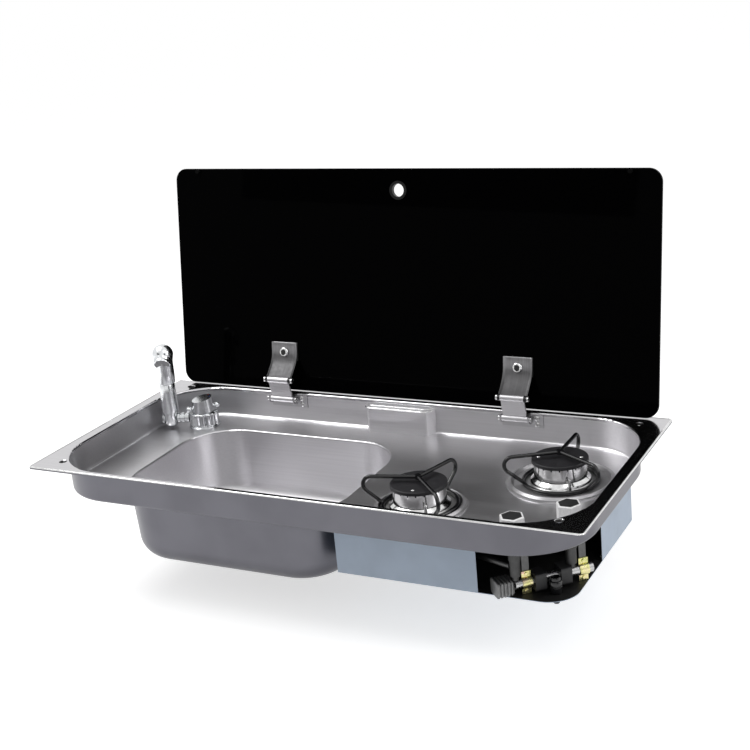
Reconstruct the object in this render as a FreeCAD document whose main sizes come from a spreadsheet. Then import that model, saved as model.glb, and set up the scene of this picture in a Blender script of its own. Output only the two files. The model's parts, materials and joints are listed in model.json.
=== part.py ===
import FreeCAD, Part
import math
import os
import types

import Sketcher
from FreeCAD import Placement, Rotation, Vector

# A drop-in sink and two-burner gas hob with a folding tap and a glass lid.
# Frame: +X right, +Y back, +Z up. z = 0 is the worktop that the rim sits on.
# The origin is the rim's middle.
# Driving dimensions in millimetres, and in degrees where the name says lean, turn, fold or draft.
SIZES = {
    # fits that several pieces share
    "sheet": 0.8,
    "running_fit": 0.05,
    "loose_fit": 0.5,
    # rim and pan
    "rim_width": 775.0,
    "rim_depth": 365.0,
    "rim_height": 3.0,
    "rim_corner": 6.0,
    "rim_round": 1.6,
    "rim_hem": 1.6,
    "flange_side": 17.5,
    "flange_front": 9.5,
    "flange_rear": 19.5,
    "pan_depth": 40.0,
    "pan_corner": 88.0,
    "pan_round": 4.0,
    "mouth_round": 2.5,
    "step_width": 92.0,
    "step_flare": 9.0,
    "step_reach": 15.0,
    "step_drop": 4.0,
    "step_round": 4.0,
    "corner_hole_side": 37.5,
    "corner_hole_end": 28.5,
    "corner_hole": 5.0,
    "dimple": 12.0,
    "dimple_wall": 2.0,
    "seal_gap": 1.0,
    # sink bowl and drain
    "bowl_from_left": 75.0,
    "bowl_from_casing": 7.5,
    "bowl_from_front": 38.0,
    "bowl_from_rear": 55.0,
    "bowl_depth": 146.0,
    "bowl_corner": 70.0,
    "bowl_round": 30.0,
    "bowl_draft": 3.0,
    "bowl_flange": 4.0,
    "bowl_lip": 2.4,
    "lip_round": 2.2,
    "strainer_rim": 76.0,
    "strainer_pipe": 40.0,
    "strainer_drop": 21.0,
    "strainer_wall": 1.2,
    "strainer_hole": 5.0,
    "gasket_thick": 3.0,
    "drain_nut_height": 8.0,
    "drain_nut_wall": 10.0,
    "tail_wall": 3.0,
    "tail_cup": 14.0,
    "tail_taper": 6.0,
    "tail_length": 18.0,
    "tail_outlet": 25.0,
    # burners
    "front_burner_from_right": 231.5,
    "front_burner_from_front": 100.0,
    "rear_burner_from_right": 90.0,
    "rear_burner_from_rear": 118.0,
    "cup_rim": 88.0,
    "cup_rim_thick": 1.5,
    "cup_width": 60.0,
    "cup_drop": 21.0,
    "cup_wall": 2.5,
    "stem_width": 32.0,
    "stem_drop": 49.0,
    "head_foot": 76.0,
    "head_top": 66.0,
    "head_height": 27.5,
    "head_wall": 3.5,
    "head_foot_height": 5.0,
    "port_width": 1.8,
    "port_height": 3.0,
    "cap_width": 72.0,
    "cap_height": 4.5,
    "cap_round": 1.5,
    "cap_spigot": 3.0,
    "rivet_spacing": 54.0,
    "rivet_width": 4.6,
    "rivet_height": 1.0,
    "front_rivet_turn": 100.0,
    "rear_rivet_turn": 13.0,
    "front_ring_width": 120.0,
    "rear_ring_width": 140.0,
    "ring_bead_height": 5.0,
    "ring_bead_width": 6.0,
    "ring_ledge_height": 2.2,
    "ring_ledge_width": 4.0,
    "wire": 5.0,
    "ring_wire": 5.6,
    "support_hub": 8.0,
    "support_ring": 94.0,
    "support_reach": 71.0,
    "support_bend": 11.0,
    "support_height": 42.5,
    "front_support_turn": 74.0,
    "rear_support_turn": 90.0,
    "sensor_radius": 41.0,
    "sensor_width": 4.0,
    "sensor_height": 19.5,
    "sensor_drop": 22.0,
    "sensor_turn": -55.0,
    "pipe_width": 8.0,
    # knobs and gas taps
    "front_knob_from_right": 91.0,
    "front_knob_from_front": 53.0,
    "rear_knob_from_right": 39.5,
    "rear_knob_from_front": 104.0,
    "knob_width": 27.0,
    "knob_gap": 4.0,
    "knob_height": 21.6,
    "knob_edge": 1.6,
    "insert_border": 2.2,
    "insert_thick": 1.2,
    "spindle_width": 6.0,
    "spindle_collar": 9.6,
    "collar_thick": 2.0,
    "sleeve_width": 10.1,
    "sleeve_length": 16.0,
    "sleeve_stand": 2.0,
    "spring_room": 7.0,
    "bonnet_drop": 13.0,
    "bonnet_width": 15.0,
    "bonnet_height": 18.0,
    "tap_width": 13.0,
    "tap_nipple": 8.0,
    # casing and gas rail
    "casing_width": 305.5,
    "casing_from_right": 23.0,
    "casing_from_front": 47.0,
    "casing_from_rear": 43.0,
    "casing_depth": 118.0,
    "casing_open_width": 115.0,
    "casing_open_depth": 121.0,
    "casing_fold": 9.0,
    "base_corner": 38.0,
    "screw_width": 3.2,
    "screw_head": 7.0,
    "screw_head_height": 1.6,
    "screw_length": 4.0,
    "rail_rise": 15.0,
    "rail_width": 12.0,
    "rail_bore": 9.0,
    "rail_start": -2.0,
    "rail_end": 99.0,
    "strap_near": 13.0,
    "strap_far": 87.0,
    "strap_width": 12.0,
    "strap_thick": 1.5,
    "strap_ear": 7.0,
    "strap_rivet": 5.0,
    "hanger_thick": 2.0,
    "hanger_width": 9.0,
    "housing_near": 28.0,
    "housing_far": 61.0,
    "housing_length": 14.0,
    "housing_width": 22.0,
    "casting_length": 22.0,
    "casting_width": 22.0,
    "casting_round": 5.0,
    "inlet_along": 44.5,
    "inlet_body": 16.0,
    "inlet_pipe": 8.0,
    "inlet_drop": 13.0,
    "inlet_nut": 12.0,
    # tap and mixer
    "tap_from_left": 22.0,
    "tap_from_rear": 71.0,
    "tap_turn": 24.0,
    "mixer_from_tap": 49.0,
    "mixer_width": 44.0,
    "mixer_foot": 46.0,
    "mixer_foot_height": 3.0,
    "mixer_height": 23.0,
    "mixer_shank": 23.0,
    "shank_length": 24.0,
    "rib_width": 4.0,
    "rib_depth": 1.4,
    "mixer_stub": 12.0,
    "backnut_width": 29.0,
    "backnut_height": 7.0,
    "inlet_tail": 8.0,
    "inlet_spigot": 7.0,
    "inlet_wall": 1.2,
    "inlet_tail_spacing": 11.0,
    "inlet_tail_length": 22.0,
    "swivel_height": 14.6,
    "swivel_ring": 16.0,
    "swivel_waist": 12.5,
    "swivel_pin": 11.0,
    "swivel_cap": 3.0,
    "spout_flats": 20.0,
    "spout_yoke": 10.0,
    "spout_foot": 26.0,
    "spout_neck": 26.5,
    "spout_length": 100.0,
    "spout_head": 31.0,
    "nozzle_width": 25.0,
    "nozzle_reach": 18.5,
    "nozzle_lean": 40.0,
    "aerator_width": 20.0,
    "aerator_depth": 3.0,
    "handle_width": 34.0,
    "handle_height": 22.0,
    "handle_gap": 0.6,
    "handle_slope": 9.0,
    "handle_bar": 5.0,
    "handle_bar_height": 5.0,
    "handle_reach": 21.0,
    "handle_ball": 9.0,
    "handle_turn": 45.0,
    # glass lid and hinges
    "lid_side": 16.5,
    "lid_front": 2.5,
    "lid_thick": 5.0,
    "lid_corner": 18.0,
    "lid_lean": 8.5,
    "lid_gap": 5.0,
    "lid_overlap": 12.0,
    "finger_hole": 18.0,
    "finger_hole_edge": 30.0,
    "grommet_rim": 4.0,
    "grommet_thick": 0.8,
    "buffer_spacing": 660.0,
    "buffer_width": 6.0,
    "buffer_edge": 4.0,
    "buffer_gap": 0.3,
    "pivot_depth": 5.0,
    "pivot_inset": 7.0,
    "pivot_pin": 4.8,
    "hinge_from_left": 180.0,
    "hinge_from_right": 193.0,
    "barrel": 9.0,
    "arm_width": 38.0,
    "arm_neck": 34.0,
    "arm_thick": 2.5,
    "knuckle_reach": 30.0,
    "knuckle_drop": 10.0,
    "knuckle_pin": 4.8,
    "knuckle_head": 7.6,
    "knuckle_head_width": 2.6,
    "leaf_width": 42.0,
    "leaf_thick": 2.0,
    "leaf_start": 44.0,
    "leaf_end": 71.0,
    "leaf_pad": 1.0,
    "bolt_place": 56.5,
    "bolt_shank": 6.0,
    "bolt_head": 13.0,
    "bolt_head_height": 4.0,
    "bolt_socket": 6.0,
    "bolt_socket_depth": 2.5,
    "bolt_nut": 18.0,
    "bolt_nut_height": 3.0,
    "bracket_thick": 1.5,
    "bracket_foot": 17.0,
    "bracket_height": 18.0,
    "ear_thick": 2.0,
    "bracket_screw_spacing": 9.0,
}

RIBS = 18
PORTS = 20
STRAINER_HOLES = 8
SUPPORT_ARMS = 3
FULL_TURN = 360.0
NEAR = 1e-4

doc = FreeCAD.newDocument("sink_and_hob")


class Size:
    """A length together with the formula in the sheet that gives it."""

    def __init__(self, value, formula):
        self.value = value
        self.formula = formula

    def __add__(self, other):
        other = as_size(other)
        return Size(self.value + other.value, "(%s + %s)" % (self.formula, other.formula))

    def __sub__(self, other):
        other = as_size(other)
        return Size(self.value - other.value, "(%s - %s)" % (self.formula, other.formula))

    def __mul__(self, other):
        other = as_size(other)
        return Size(self.value * other.value, "(%s * %s)" % (self.formula, other.formula))

    def __truediv__(self, other):
        other = as_size(other)
        return Size(self.value / other.value, "(%s / %s)" % (self.formula, other.formula))

    def __neg__(self):
        return Size(-self.value, "(-%s)" % self.formula)

    def __radd__(self, other):
        return as_size(other) + self

    def __rsub__(self, other):
        return as_size(other) - self

    def __rmul__(self, other):
        return as_size(other) * self


def as_size(number):
    """A plain number as a Size."""
    if isinstance(number, Size):
        return number
    return Size(float(number), "(%r)" % float(number))


def distance(across, along):
    """The length of a slanted line from its two extents."""
    formula = "sqrt(%s^2 + %s^2)" % (across.formula, along.formula)
    return Size(math.hypot(across.value, along.value), formula)


def bearing(along_y, along_x):
    """The angle of a line in plan, in degrees from +X."""
    formula = "atan2(%s; %s)" % (along_y.formula, along_x.formula)
    return Size(math.degrees(math.atan2(along_y.value, along_x.value)), formula)


def cosine(angle):
    return Size(math.cos(math.radians(angle.value)), "cos(%s)" % angle.formula)


def sine(angle):
    return Size(math.sin(math.radians(angle.value)), "sin(%s)" % angle.formula)


def make_sheet():
    """The spreadsheet of driving dimensions, and the same names as Sizes."""
    sheet = doc.addObject("Spreadsheet::Sheet", "sizes")
    for row, (name, value) in enumerate(SIZES.items(), start=1):
        sheet.set("A%d" % row, name)
        sheet.set("B%d" % row, str(value))
        sheet.setAlias("B%d" % row, name)
    doc.recompute()
    return types.SimpleNamespace(**{name: Size(value, "sizes." + name) for name, value in SIZES.items()})


S = make_sheet()


def bind(thing, prop, size):
    """Ties a property to the sheet."""
    thing.setExpression(prop, as_size(size).formula)


class Drawing:
    """A sketch on one of its body's own planes, with every dimension tied to the sheet."""

    def __init__(self, body, plane, lift=0, lean=None):
        self.body = body
        self.sketch = body.newObject("Sketcher::SketchObject", body.Label + "_sketch")
        support = [feature for feature in body.Origin.OriginFeatures if feature.Role == plane]
        self.sketch.AttachmentSupport = [(support[0], "")]
        self.sketch.MapMode = "FlatFace"
        if lean is not None:
            self.sketch.AttachmentOffset = Placement(Vector(), Rotation(Vector(1, 0, 0), lean.value))
            bind(self.sketch, "AttachmentOffset.Rotation.Angle", lean)
        bind(self.sketch, "AttachmentOffset.Base.z", lift)

    def fix(self, kind, *references, size):
        size = as_size(size)
        index = self.sketch.addConstraint(Sketcher.Constraint(kind, *references, size.value))
        self.sketch.setExpression("Constraints[%d]" % index, size.formula)

    def hold(self, kind, *references):
        self.sketch.addConstraint(Sketcher.Constraint(kind, *references))

    def place(self, curve, point, x, y):
        """Fixes a point of a curve at x, y from the sketch's origin."""
        for kind, size, axis in (("DistanceX", as_size(x), -2), ("DistanceY", as_size(y), -1)):
            if size.value == 0:
                self.hold("PointOnObject", curve, point, axis)
            else:
                self.fix(kind, -1, 1, curve, point, size=size)

    def polygon(self, corners):
        corners = [(as_size(x), as_size(y)) for x, y in corners]
        points = [Vector(x.value, y.value, 0) for x, y in corners]
        first = self.sketch.GeometryCount
        count = len(points)
        for start, end in zip(points, points[1:] + points[:1]):
            self.sketch.addGeometry(Part.LineSegment(start, end), False)
        for step, (x, y) in enumerate(corners):
            self.hold("Coincident", first + (step - 1) % count, 2, first + step, 1)
            self.place(first + step, 1, x, y)
        return self

    def circle(self, x, y, width):
        x, y, width = as_size(x), as_size(y), as_size(width)
        circle = Part.Circle(Vector(x.value, y.value, 0), Vector(0, 0, 1), width.value / 2)
        curve = self.sketch.addGeometry(circle, False)
        self.place(curve, 3, x, y)
        self.fix("Diameter", curve, size=width)
        return self

    def rounded_rectangle(self, left, right, front, rear, radius):
        left, right, front, rear, radius = map(as_size, (left, right, front, rear, radius))
        x_low, x_high = left.value + radius.value, right.value - radius.value
        y_low, y_high = front.value + radius.value, rear.value - radius.value
        sides = [
            (Vector(x_low, front.value, 0), Vector(x_high, front.value, 0)),
            (Vector(right.value, y_low, 0), Vector(right.value, y_high, 0)),
            (Vector(x_high, rear.value, 0), Vector(x_low, rear.value, 0)),
            (Vector(left.value, y_high, 0), Vector(left.value, y_low, 0)),
        ]
        centres = [(x_high, y_low), (x_high, y_high), (x_low, y_high), (x_low, y_low)]
        first = self.sketch.GeometryCount
        for quarter, ((start, end), (x, y)) in enumerate(zip(sides, centres)):
            self.sketch.addGeometry(Part.LineSegment(start, end), False)
            corner = Part.Circle(Vector(x, y, 0), Vector(0, 0, 1), radius.value)
            turn = (quarter - 1) * math.pi / 2
            self.sketch.addGeometry(Part.ArcOfCircle(corner, turn, turn + math.pi / 2), False)
        for step in range(8):
            self.hold("Tangent", first + step, 2, first + (step + 1) % 8, 1)
        for side, kind in enumerate(("Horizontal", "Vertical", "Horizontal", "Vertical")):
            self.hold(kind, first + 2 * side)
        for corner in (3, 5, 7):
            self.hold("Equal", first + 1, first + corner)
        self.fix("Radius", first + 1, size=radius)
        places = (("DistanceY", front), ("DistanceX", right), ("DistanceY", rear), ("DistanceX", left))
        for side, (kind, size) in enumerate(places):
            self.fix(kind, -1, 1, first + 2 * side, 1, size=size)
        return self


def new_body(label, x=0, y=0, z=0, axis=None, turn=0):
    """An empty body with its own label, set at x, y, z and turned about an axis."""
    body = doc.addObject("PartDesign::Body", label)
    body.Label = label
    if axis is not None:
        body.Placement = Placement(Vector(), Rotation(axis, 1))
        bind(body, "Placement.Rotation.Angle", turn)
    for direction, size in zip("xyz", (x, y, z)):
        bind(body, "Placement.Base." + direction, size)
    return body


def feature_of(drawing, kind):
    feature = drawing.body.newObject("PartDesign::" + kind, drawing.body.Label + "_" + kind.lower())
    feature.Profile = drawing.sketch
    return feature


def pad(drawing, length, reverse=False, both_ways=False, draft=None):
    feature = feature_of(drawing, "Pad")
    bind(feature, "Length", length)
    feature.Reversed = reverse
    if both_ways:
        feature.SideType = "Symmetric"
    if draft is not None:
        bind(feature, "TaperAngle", -draft)
    return feature


def pocket(drawing, length=None, reverse=False, both_ways=False, draft=None):
    feature = feature_of(drawing, "Pocket")
    if length is None:
        feature.Type = "ThroughAll"
    else:
        bind(feature, "Length", length)
    feature.Reversed = reverse
    if both_ways:
        feature.SideType = "Symmetric"
    if draft is not None:
        bind(feature, "TaperAngle", -draft)
    return feature


def revolve(drawing, axis="V_Axis", kind="Revolution"):
    feature = feature_of(drawing, kind)
    feature.ReferenceAxis = (drawing.sketch, [axis])
    feature.Angle = FULL_TURN
    return feature


def polar_pattern(feature, count, role="Z_Axis"):
    body = feature._Body
    pattern = body.newObject("PartDesign::PolarPattern", body.Label + "_pattern")
    axis = [item for item in body.Origin.OriginFeatures if item.Role == role]
    pattern.Originals = [feature]
    pattern.Axis = (axis[0], [""])
    pattern.Angle = FULL_TURN
    pattern.Occurrences = count
    body.Tip = pattern
    return pattern


def soften(feature, radius, test, kind="Fillet"):
    """Rounds or bevels the edges of a feature that pass a test."""
    doc.recompute()
    names = ["Edge%d" % number for number, edge in enumerate(feature.Shape.Edges, 1) if test(edge)]
    if not names:
        raise RuntimeError("no edge to soften on " + feature.Label)
    rounding = feature._Body.newObject("PartDesign::" + kind, feature._Body.Label + "_" + kind.lower())
    rounding.Base = (feature, names)
    bind(rounding, "Radius" if kind == "Fillet" else "Size", radius)
    doc.recompute()
    return rounding


def level_at(height):
    """A test for edges that lie flat at one height."""
    height = as_size(height).value
    return lambda edge: all(abs(vertex.Z - height) < NEAR for vertex in edge.Vertexes)


def upright_at(x, y):
    """A test for upright edges that stand at x, y."""
    x, y = as_size(x).value, as_size(y).value
    return lambda edge: all(math.hypot(v.X - x, v.Y - y) < NEAR for v in edge.Vertexes)


def turned(label, profile, x=0, y=0, z=0, axis=None, turn=0):
    """A piece turned about its own Z axis from a profile of (radius, height) corners."""
    body = new_body(label, x, y, z, axis, turn)
    drawing = Drawing(body, "XZ_Plane").polygon(profile)
    revolve(drawing)
    return body


def group(label, members):
    """Identical small pieces that share one node as separate solids."""
    cluster = doc.addObject("Part::Compound", label)
    cluster.Label = label
    cluster.Links = members
    return cluster


# Levels and places that several pieces share. What stands in the pan is placed from its walls.
PAN_SIDE = S.rim_width / 2 - S.flange_side
PAN_FRONT = S.rim_depth / 2 - S.flange_front
PAN_REAR = S.rim_depth / 2 - S.flange_rear
CASING_RIGHT = PAN_SIDE - S.casing_from_right
CASING_LEFT = CASING_RIGHT - S.casing_width
CASING_FRONT = S.casing_from_front - PAN_FRONT
CASING_REAR = PAN_REAR - S.casing_from_rear
OPEN_X = CASING_RIGHT - S.casing_open_width
OPEN_Y = CASING_FRONT + S.casing_open_depth
BOWL_LEFT = S.bowl_from_left - PAN_SIDE
BOWL_RIGHT = CASING_LEFT - S.bowl_from_casing
BOWL_FRONT = S.bowl_from_front - PAN_FRONT
BOWL_REAR = PAN_REAR - S.bowl_from_rear
TAP_X = S.tap_from_left - PAN_SIDE
TAP_Y = PAN_REAR - S.tap_from_rear
MIXER_X = TAP_X + S.mixer_from_tap * cosine(S.tap_turn)
MIXER_Y = TAP_Y + S.mixer_from_tap * sine(S.tap_turn)
FLOOR = -S.pan_depth
UNDERSIDE = FLOOR - S.sheet
BOWL_TOP = UNDERSIDE - S.bowl_lip
BOWL_FLOOR = -S.bowl_depth + S.sheet
DRAIN_X = (BOWL_RIGHT + BOWL_LEFT) / 2
DRAIN_Y = (BOWL_REAR + BOWL_FRONT) / 2
BASE_TOP = -S.casing_depth
RAIL_Z = BASE_TOP + S.rail_rise
PIVOT_Y = PAN_REAR - S.pivot_inset
PIVOT_Z = -S.pivot_depth
LID_RISE = S.rim_height + S.lid_gap + S.pivot_depth
SWIVEL_Z = FLOOR + S.swivel_height
HINGES = {"left": S.hinge_from_left - PAN_SIDE, "right": PAN_SIDE - S.hinge_from_right}
FOOT_X = S.arm_width / 2 + S.running_fit * 4 + S.ear_thick + S.bracket_foot / 2
BRACKET_TOP = PIVOT_Z + S.barrel / 2 + S.loose_fit
BURNERS = {
    "front": types.SimpleNamespace(
        x=PAN_SIDE - S.front_burner_from_right, y=S.front_burner_from_front - PAN_FRONT,
        ring=S.front_ring_width, support=S.front_support_turn, rivets=S.front_rivet_turn,
        knob_x=PAN_SIDE - S.front_knob_from_right, knob_y=S.front_knob_from_front - PAN_FRONT),
    "rear": types.SimpleNamespace(
        x=PAN_SIDE - S.rear_burner_from_right, y=PAN_REAR - S.rear_burner_from_rear,
        ring=S.rear_ring_width, support=S.rear_support_turn, rivets=S.rear_rivet_turn,
        knob_x=PAN_SIDE - S.rear_knob_from_right, knob_y=S.rear_knob_from_front - PAN_FRONT),
}
RAIL_START = BURNERS["front"]
RAIL_END = BURNERS["rear"]
BOWL_OUTLINE = (BOWL_LEFT, BOWL_RIGHT, BOWL_FRONT, BOWL_REAR)
HOLE_X = S.rim_width / 2 - S.corner_hole_side
HOLE_Y = S.rim_depth / 2 - S.corner_hole_end
CORNER_HOLES = [(side * HOLE_X, end * HOLE_Y) for side in (-1, 1) for end in (-1, 1)]


def grown(outline, amount):
    """A rectangle's sides moved outward by an amount."""
    left, right, front, rear = outline
    return left - amount, right + amount, front - amount, rear + amount


PAN_OUTLINE = (-PAN_SIDE, PAN_SIDE, -PAN_FRONT, PAN_REAR)
RIM_OUTLINE = (-S.rim_width / 2, S.rim_width / 2, -S.rim_depth / 2, S.rim_depth / 2)


def sensor_offset():
    """A flame sensor's place from the middle of its burner."""
    return S.sensor_radius * cosine(S.sensor_turn), S.sensor_radius * sine(S.sensor_turn)


def sensor_place(burner):
    """Where a burner's flame sensor stands, in plan."""
    x, y = sensor_offset()
    return burner.x + x, burner.y + y


def make_tray():
    """The pressed sheet: hemmed rim, pan with round corners, step in the rear wall and the openings."""
    body = new_body("tray")
    pad(Drawing(body, "XY_Plane").rounded_rectangle(*RIM_OUTLINE, S.rim_corner), S.rim_height)
    outside = Drawing(body, "XY_Plane")
    outside.rounded_rectangle(*grown(PAN_OUTLINE, S.sheet), S.pan_corner + S.sheet)
    pad(outside, S.pan_depth + S.sheet, reverse=True)
    mouth = Drawing(body, "XY_Plane", S.rim_height).rounded_rectangle(*PAN_OUTLINE, S.pan_corner)
    hollow = pocket(mouth, S.rim_height + S.pan_depth)
    hollow = soften(hollow, S.pan_round, level_at(FLOOR))
    hollow = soften(hollow, S.pan_round + S.sheet, level_at(UNDERSIDE))
    at_top = level_at(S.rim_height)

    def on_mouth(edge):
        return at_top(edge) and all(abs(v.X) < PAN_SIDE.value + NEAR for v in edge.Vertexes) and all(
            -PAN_FRONT.value - NEAR < v.Y < PAN_REAR.value + NEAR for v in edge.Vertexes)

    def on_outside(edge):
        return at_top(edge) and not on_mouth(edge)

    hollow = soften(hollow, S.mouth_round, on_mouth)
    hollow = soften(hollow, S.rim_round, on_outside)
    wall = S.sheet + S.mouth_round
    under = Drawing(body, "XY_Plane")
    under.rounded_rectangle(*grown(RIM_OUTLINE, -S.rim_hem), S.rim_corner - S.rim_hem)
    under.rounded_rectangle(*grown(PAN_OUTLINE, wall), S.pan_corner + wall)
    pocket(under, S.rim_height - S.sheet, reverse=True)
    add_rear_step(body)
    add_corner_dimples(body)
    cut_floor_openings(body)
    cut_bracket_holes(body)
    return body


def step_outline(inset):
    """The step in the rear wall in plan, drawn in by an amount on its front and sides."""
    front = PAN_REAR - S.step_reach + inset
    near = S.step_width / 2 - inset
    far = S.step_width / 2 + S.step_flare - inset
    back = PAN_REAR + S.sheet
    return [(-near, front), (near, front), (far, back), (-far, back)]


def add_rear_step(body):
    step = pad(Drawing(body, "XY_Plane", FLOOR).polygon(step_outline(0)), S.pan_depth - S.step_drop)
    front = PAN_REAR - S.step_reach
    half = S.step_width / 2
    for side in (-half, half):
        step = soften(step, S.step_round, upright_at(side, front))
    back = Drawing(body, "XY_Plane", UNDERSIDE).polygon(step_outline(S.sheet))
    pocket(back, S.pan_depth - S.step_drop, reverse=True)


def add_corner_dimples(body):
    bosses = Drawing(body, "XY_Plane")
    holes = Drawing(body, "XY_Plane", S.rim_height)
    for x, y in CORNER_HOLES:
        bosses.circle(x, y, S.dimple + 2 * S.dimple_wall)
        holes.circle(x, y, S.corner_hole)
    pad(bosses, S.rim_height - S.sheet)
    doc.recompute()
    dimple = feature_of(holes, "Hole")
    dimple.ThreadType = "None"
    dimple.DepthType = "ThroughAll"
    dimple.HoleCutType = "Countersink"
    bind(dimple, "Diameter", S.corner_hole)
    bind(dimple, "HoleCutDiameter", S.dimple)
    dimple.HoleCutCountersinkAngle = 120.0
    doc.recompute()


def cut_floor_openings(body):
    collar = Drawing(body, "XY_Plane", UNDERSIDE)
    collar.rounded_rectangle(*grown(BOWL_OUTLINE, S.bowl_flange), S.bowl_corner + S.bowl_flange)
    pad(collar, S.bowl_lip, reverse=True)
    opening = Drawing(body, "XY_Plane", FLOOR).rounded_rectangle(*BOWL_OUTLINE, S.bowl_corner)
    opening = pocket(opening)
    on_floor = level_at(FLOOR)

    def on_lip(edge):
        return on_floor(edge) and all(
            BOWL_LEFT.value - NEAR < v.X < BOWL_RIGHT.value + NEAR
            and BOWL_FRONT.value - NEAR < v.Y < BOWL_REAR.value + NEAR for v in edge.Vertexes)

    soften(opening, S.lip_round, on_lip)
    holes = Drawing(body, "XY_Plane", FLOOR)
    for burner in BURNERS.values():
        holes.circle(burner.x, burner.y, S.cup_width + 2 * S.loose_fit)
        holes.circle(*sensor_place(burner), S.sensor_width + S.loose_fit)
        holes.circle(burner.knob_x, burner.knob_y, S.spindle_collar + 2 * S.loose_fit)
    holes.circle(MIXER_X, MIXER_Y, S.mixer_shank + S.loose_fit)
    pocket(holes)


def bracket_screw_places():
    """Where the hinge brackets are screwed to the rear wall, in x and z."""
    for hinge in HINGES.values():
        for side in (-1, 1):
            middle = BRACKET_TOP - S.bracket_height / 2
            yield hinge + FOOT_X, middle + side * S.bracket_screw_spacing / 2


def cut_bracket_holes(body):
    holes = Drawing(body, "XZ_Plane", -PAN_REAR)
    for x, z in bracket_screw_places():
        holes.circle(x, z, S.screw_width + S.running_fit)
    pocket(holes, 2 * S.sheet)


def make_rim_seal():
    """Foam strip between the rim and the worktop."""
    body = new_body("rim_seal")
    wall = S.sheet + S.mouth_round + S.seal_gap
    edge = S.rim_hem + S.seal_gap
    ring = Drawing(body, "XY_Plane")
    ring.rounded_rectangle(*grown(RIM_OUTLINE, -edge), S.rim_corner - S.rim_hem)
    ring.rounded_rectangle(*grown(PAN_OUTLINE, wall), S.pan_corner + wall)
    pad(ring, S.rim_height - S.sheet)
    gaps = Drawing(body, "XY_Plane")
    for x, y in CORNER_HOLES:
        gaps.circle(x, y, S.dimple + 2 * (S.dimple_wall + S.loose_fit))
    pocket(gaps, S.rim_height, reverse=True)
    return body


def make_sink_bowl():
    """Drawn bowl with drafted walls, hung from the lip of the pan floor by its flange."""
    body = new_body("sink_bowl")
    flange = Drawing(body, "XY_Plane", BOWL_TOP)
    flange.rounded_rectangle(*grown(BOWL_OUTLINE, S.bowl_flange), S.bowl_corner + S.bowl_flange)
    pad(flange, S.sheet, reverse=True)
    outside = Drawing(body, "XY_Plane", BOWL_TOP)
    outside.rounded_rectangle(*grown(BOWL_OUTLINE, S.sheet), S.bowl_corner + S.sheet)
    pad(outside, S.bowl_depth + BOWL_TOP, reverse=True, draft=S.bowl_draft)
    inside = Drawing(body, "XY_Plane", BOWL_TOP).rounded_rectangle(*BOWL_OUTLINE, S.bowl_corner)
    hollow = pocket(inside, S.bowl_depth + BOWL_TOP - S.sheet, draft=S.bowl_draft)
    hollow = soften(hollow, S.bowl_round - S.sheet, level_at(BOWL_FLOOR))
    soften(hollow, S.bowl_round, level_at(-S.bowl_depth))
    drain = Drawing(body, "XY_Plane", BOWL_FLOOR)
    drain.circle(DRAIN_X, DRAIN_Y, S.strainer_pipe + S.loose_fit)
    pocket(drain)
    return body


def make_drain():
    """Strainer through the bowl floor, with the gasket, ring nut and tailpiece that hold it below."""
    pipe = S.strainer_pipe / 2
    bore = pipe - S.strainer_wall
    rim = S.strainer_rim / 2
    thick = S.strainer_wall
    bottom = -S.strainer_drop
    strainer = turned("drain_strainer", [
        (0, bottom), (pipe, bottom), (pipe, 0), (rim, 0), (rim, thick / 2), (rim - thick, thick),
        (bore + thick, thick), (bore, 0), (bore, bottom + thick), (0, bottom + thick),
    ], DRAIN_X, DRAIN_Y, BOWL_FLOOR)
    middle = Drawing(strainer, "XY_Plane", bottom + thick).circle(0, 0, S.strainer_hole)
    pocket(middle, 2 * thick)
    outer = Drawing(strainer, "XY_Plane", bottom + thick).circle(bore * 0.62, 0, S.strainer_hole)
    polar_pattern(pocket(outer, 2 * thick), STRAINER_HOLES)
    hole = pipe + S.running_fit
    nut = hole + S.drain_nut_wall
    gasket_low = -S.gasket_thick
    nut_low = gasket_low - S.drain_nut_height
    turned("drain_gasket", [(hole, gasket_low), (nut, gasket_low), (nut, 0), (hole, 0)],
           DRAIN_X, DRAIN_Y, -S.bowl_depth)
    lug = S.drain_nut_wall / 5
    ring = turned("drain_nut", [
        (hole, nut_low), (nut - lug, nut_low), (nut - lug, gasket_low), (hole, gasket_low),
    ], DRAIN_X, DRAIN_Y, -S.bowl_depth)
    grip = Drawing(ring, "XY_Plane", nut_low).polygon([
        (nut - 2 * lug, -lug), (nut, -lug), (nut, lug), (nut - 2 * lug, lug)])
    polar_pattern(pad(grip, S.drain_nut_height), 6)
    outlet = S.tail_outlet / 2
    cup = hole + S.tail_wall
    cup_low = nut_low - S.tail_cup
    taper_low = cup_low - S.tail_taper
    end = taper_low - S.tail_length
    turned("drain_tailpiece", [
        (hole, nut_low), (cup, nut_low), (cup, cup_low), (outlet, taper_low), (outlet, end),
        (outlet - S.tail_wall, end), (outlet - S.tail_wall, taper_low), (hole, cup_low),
    ], DRAIN_X, DRAIN_Y, -S.bowl_depth)


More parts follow.
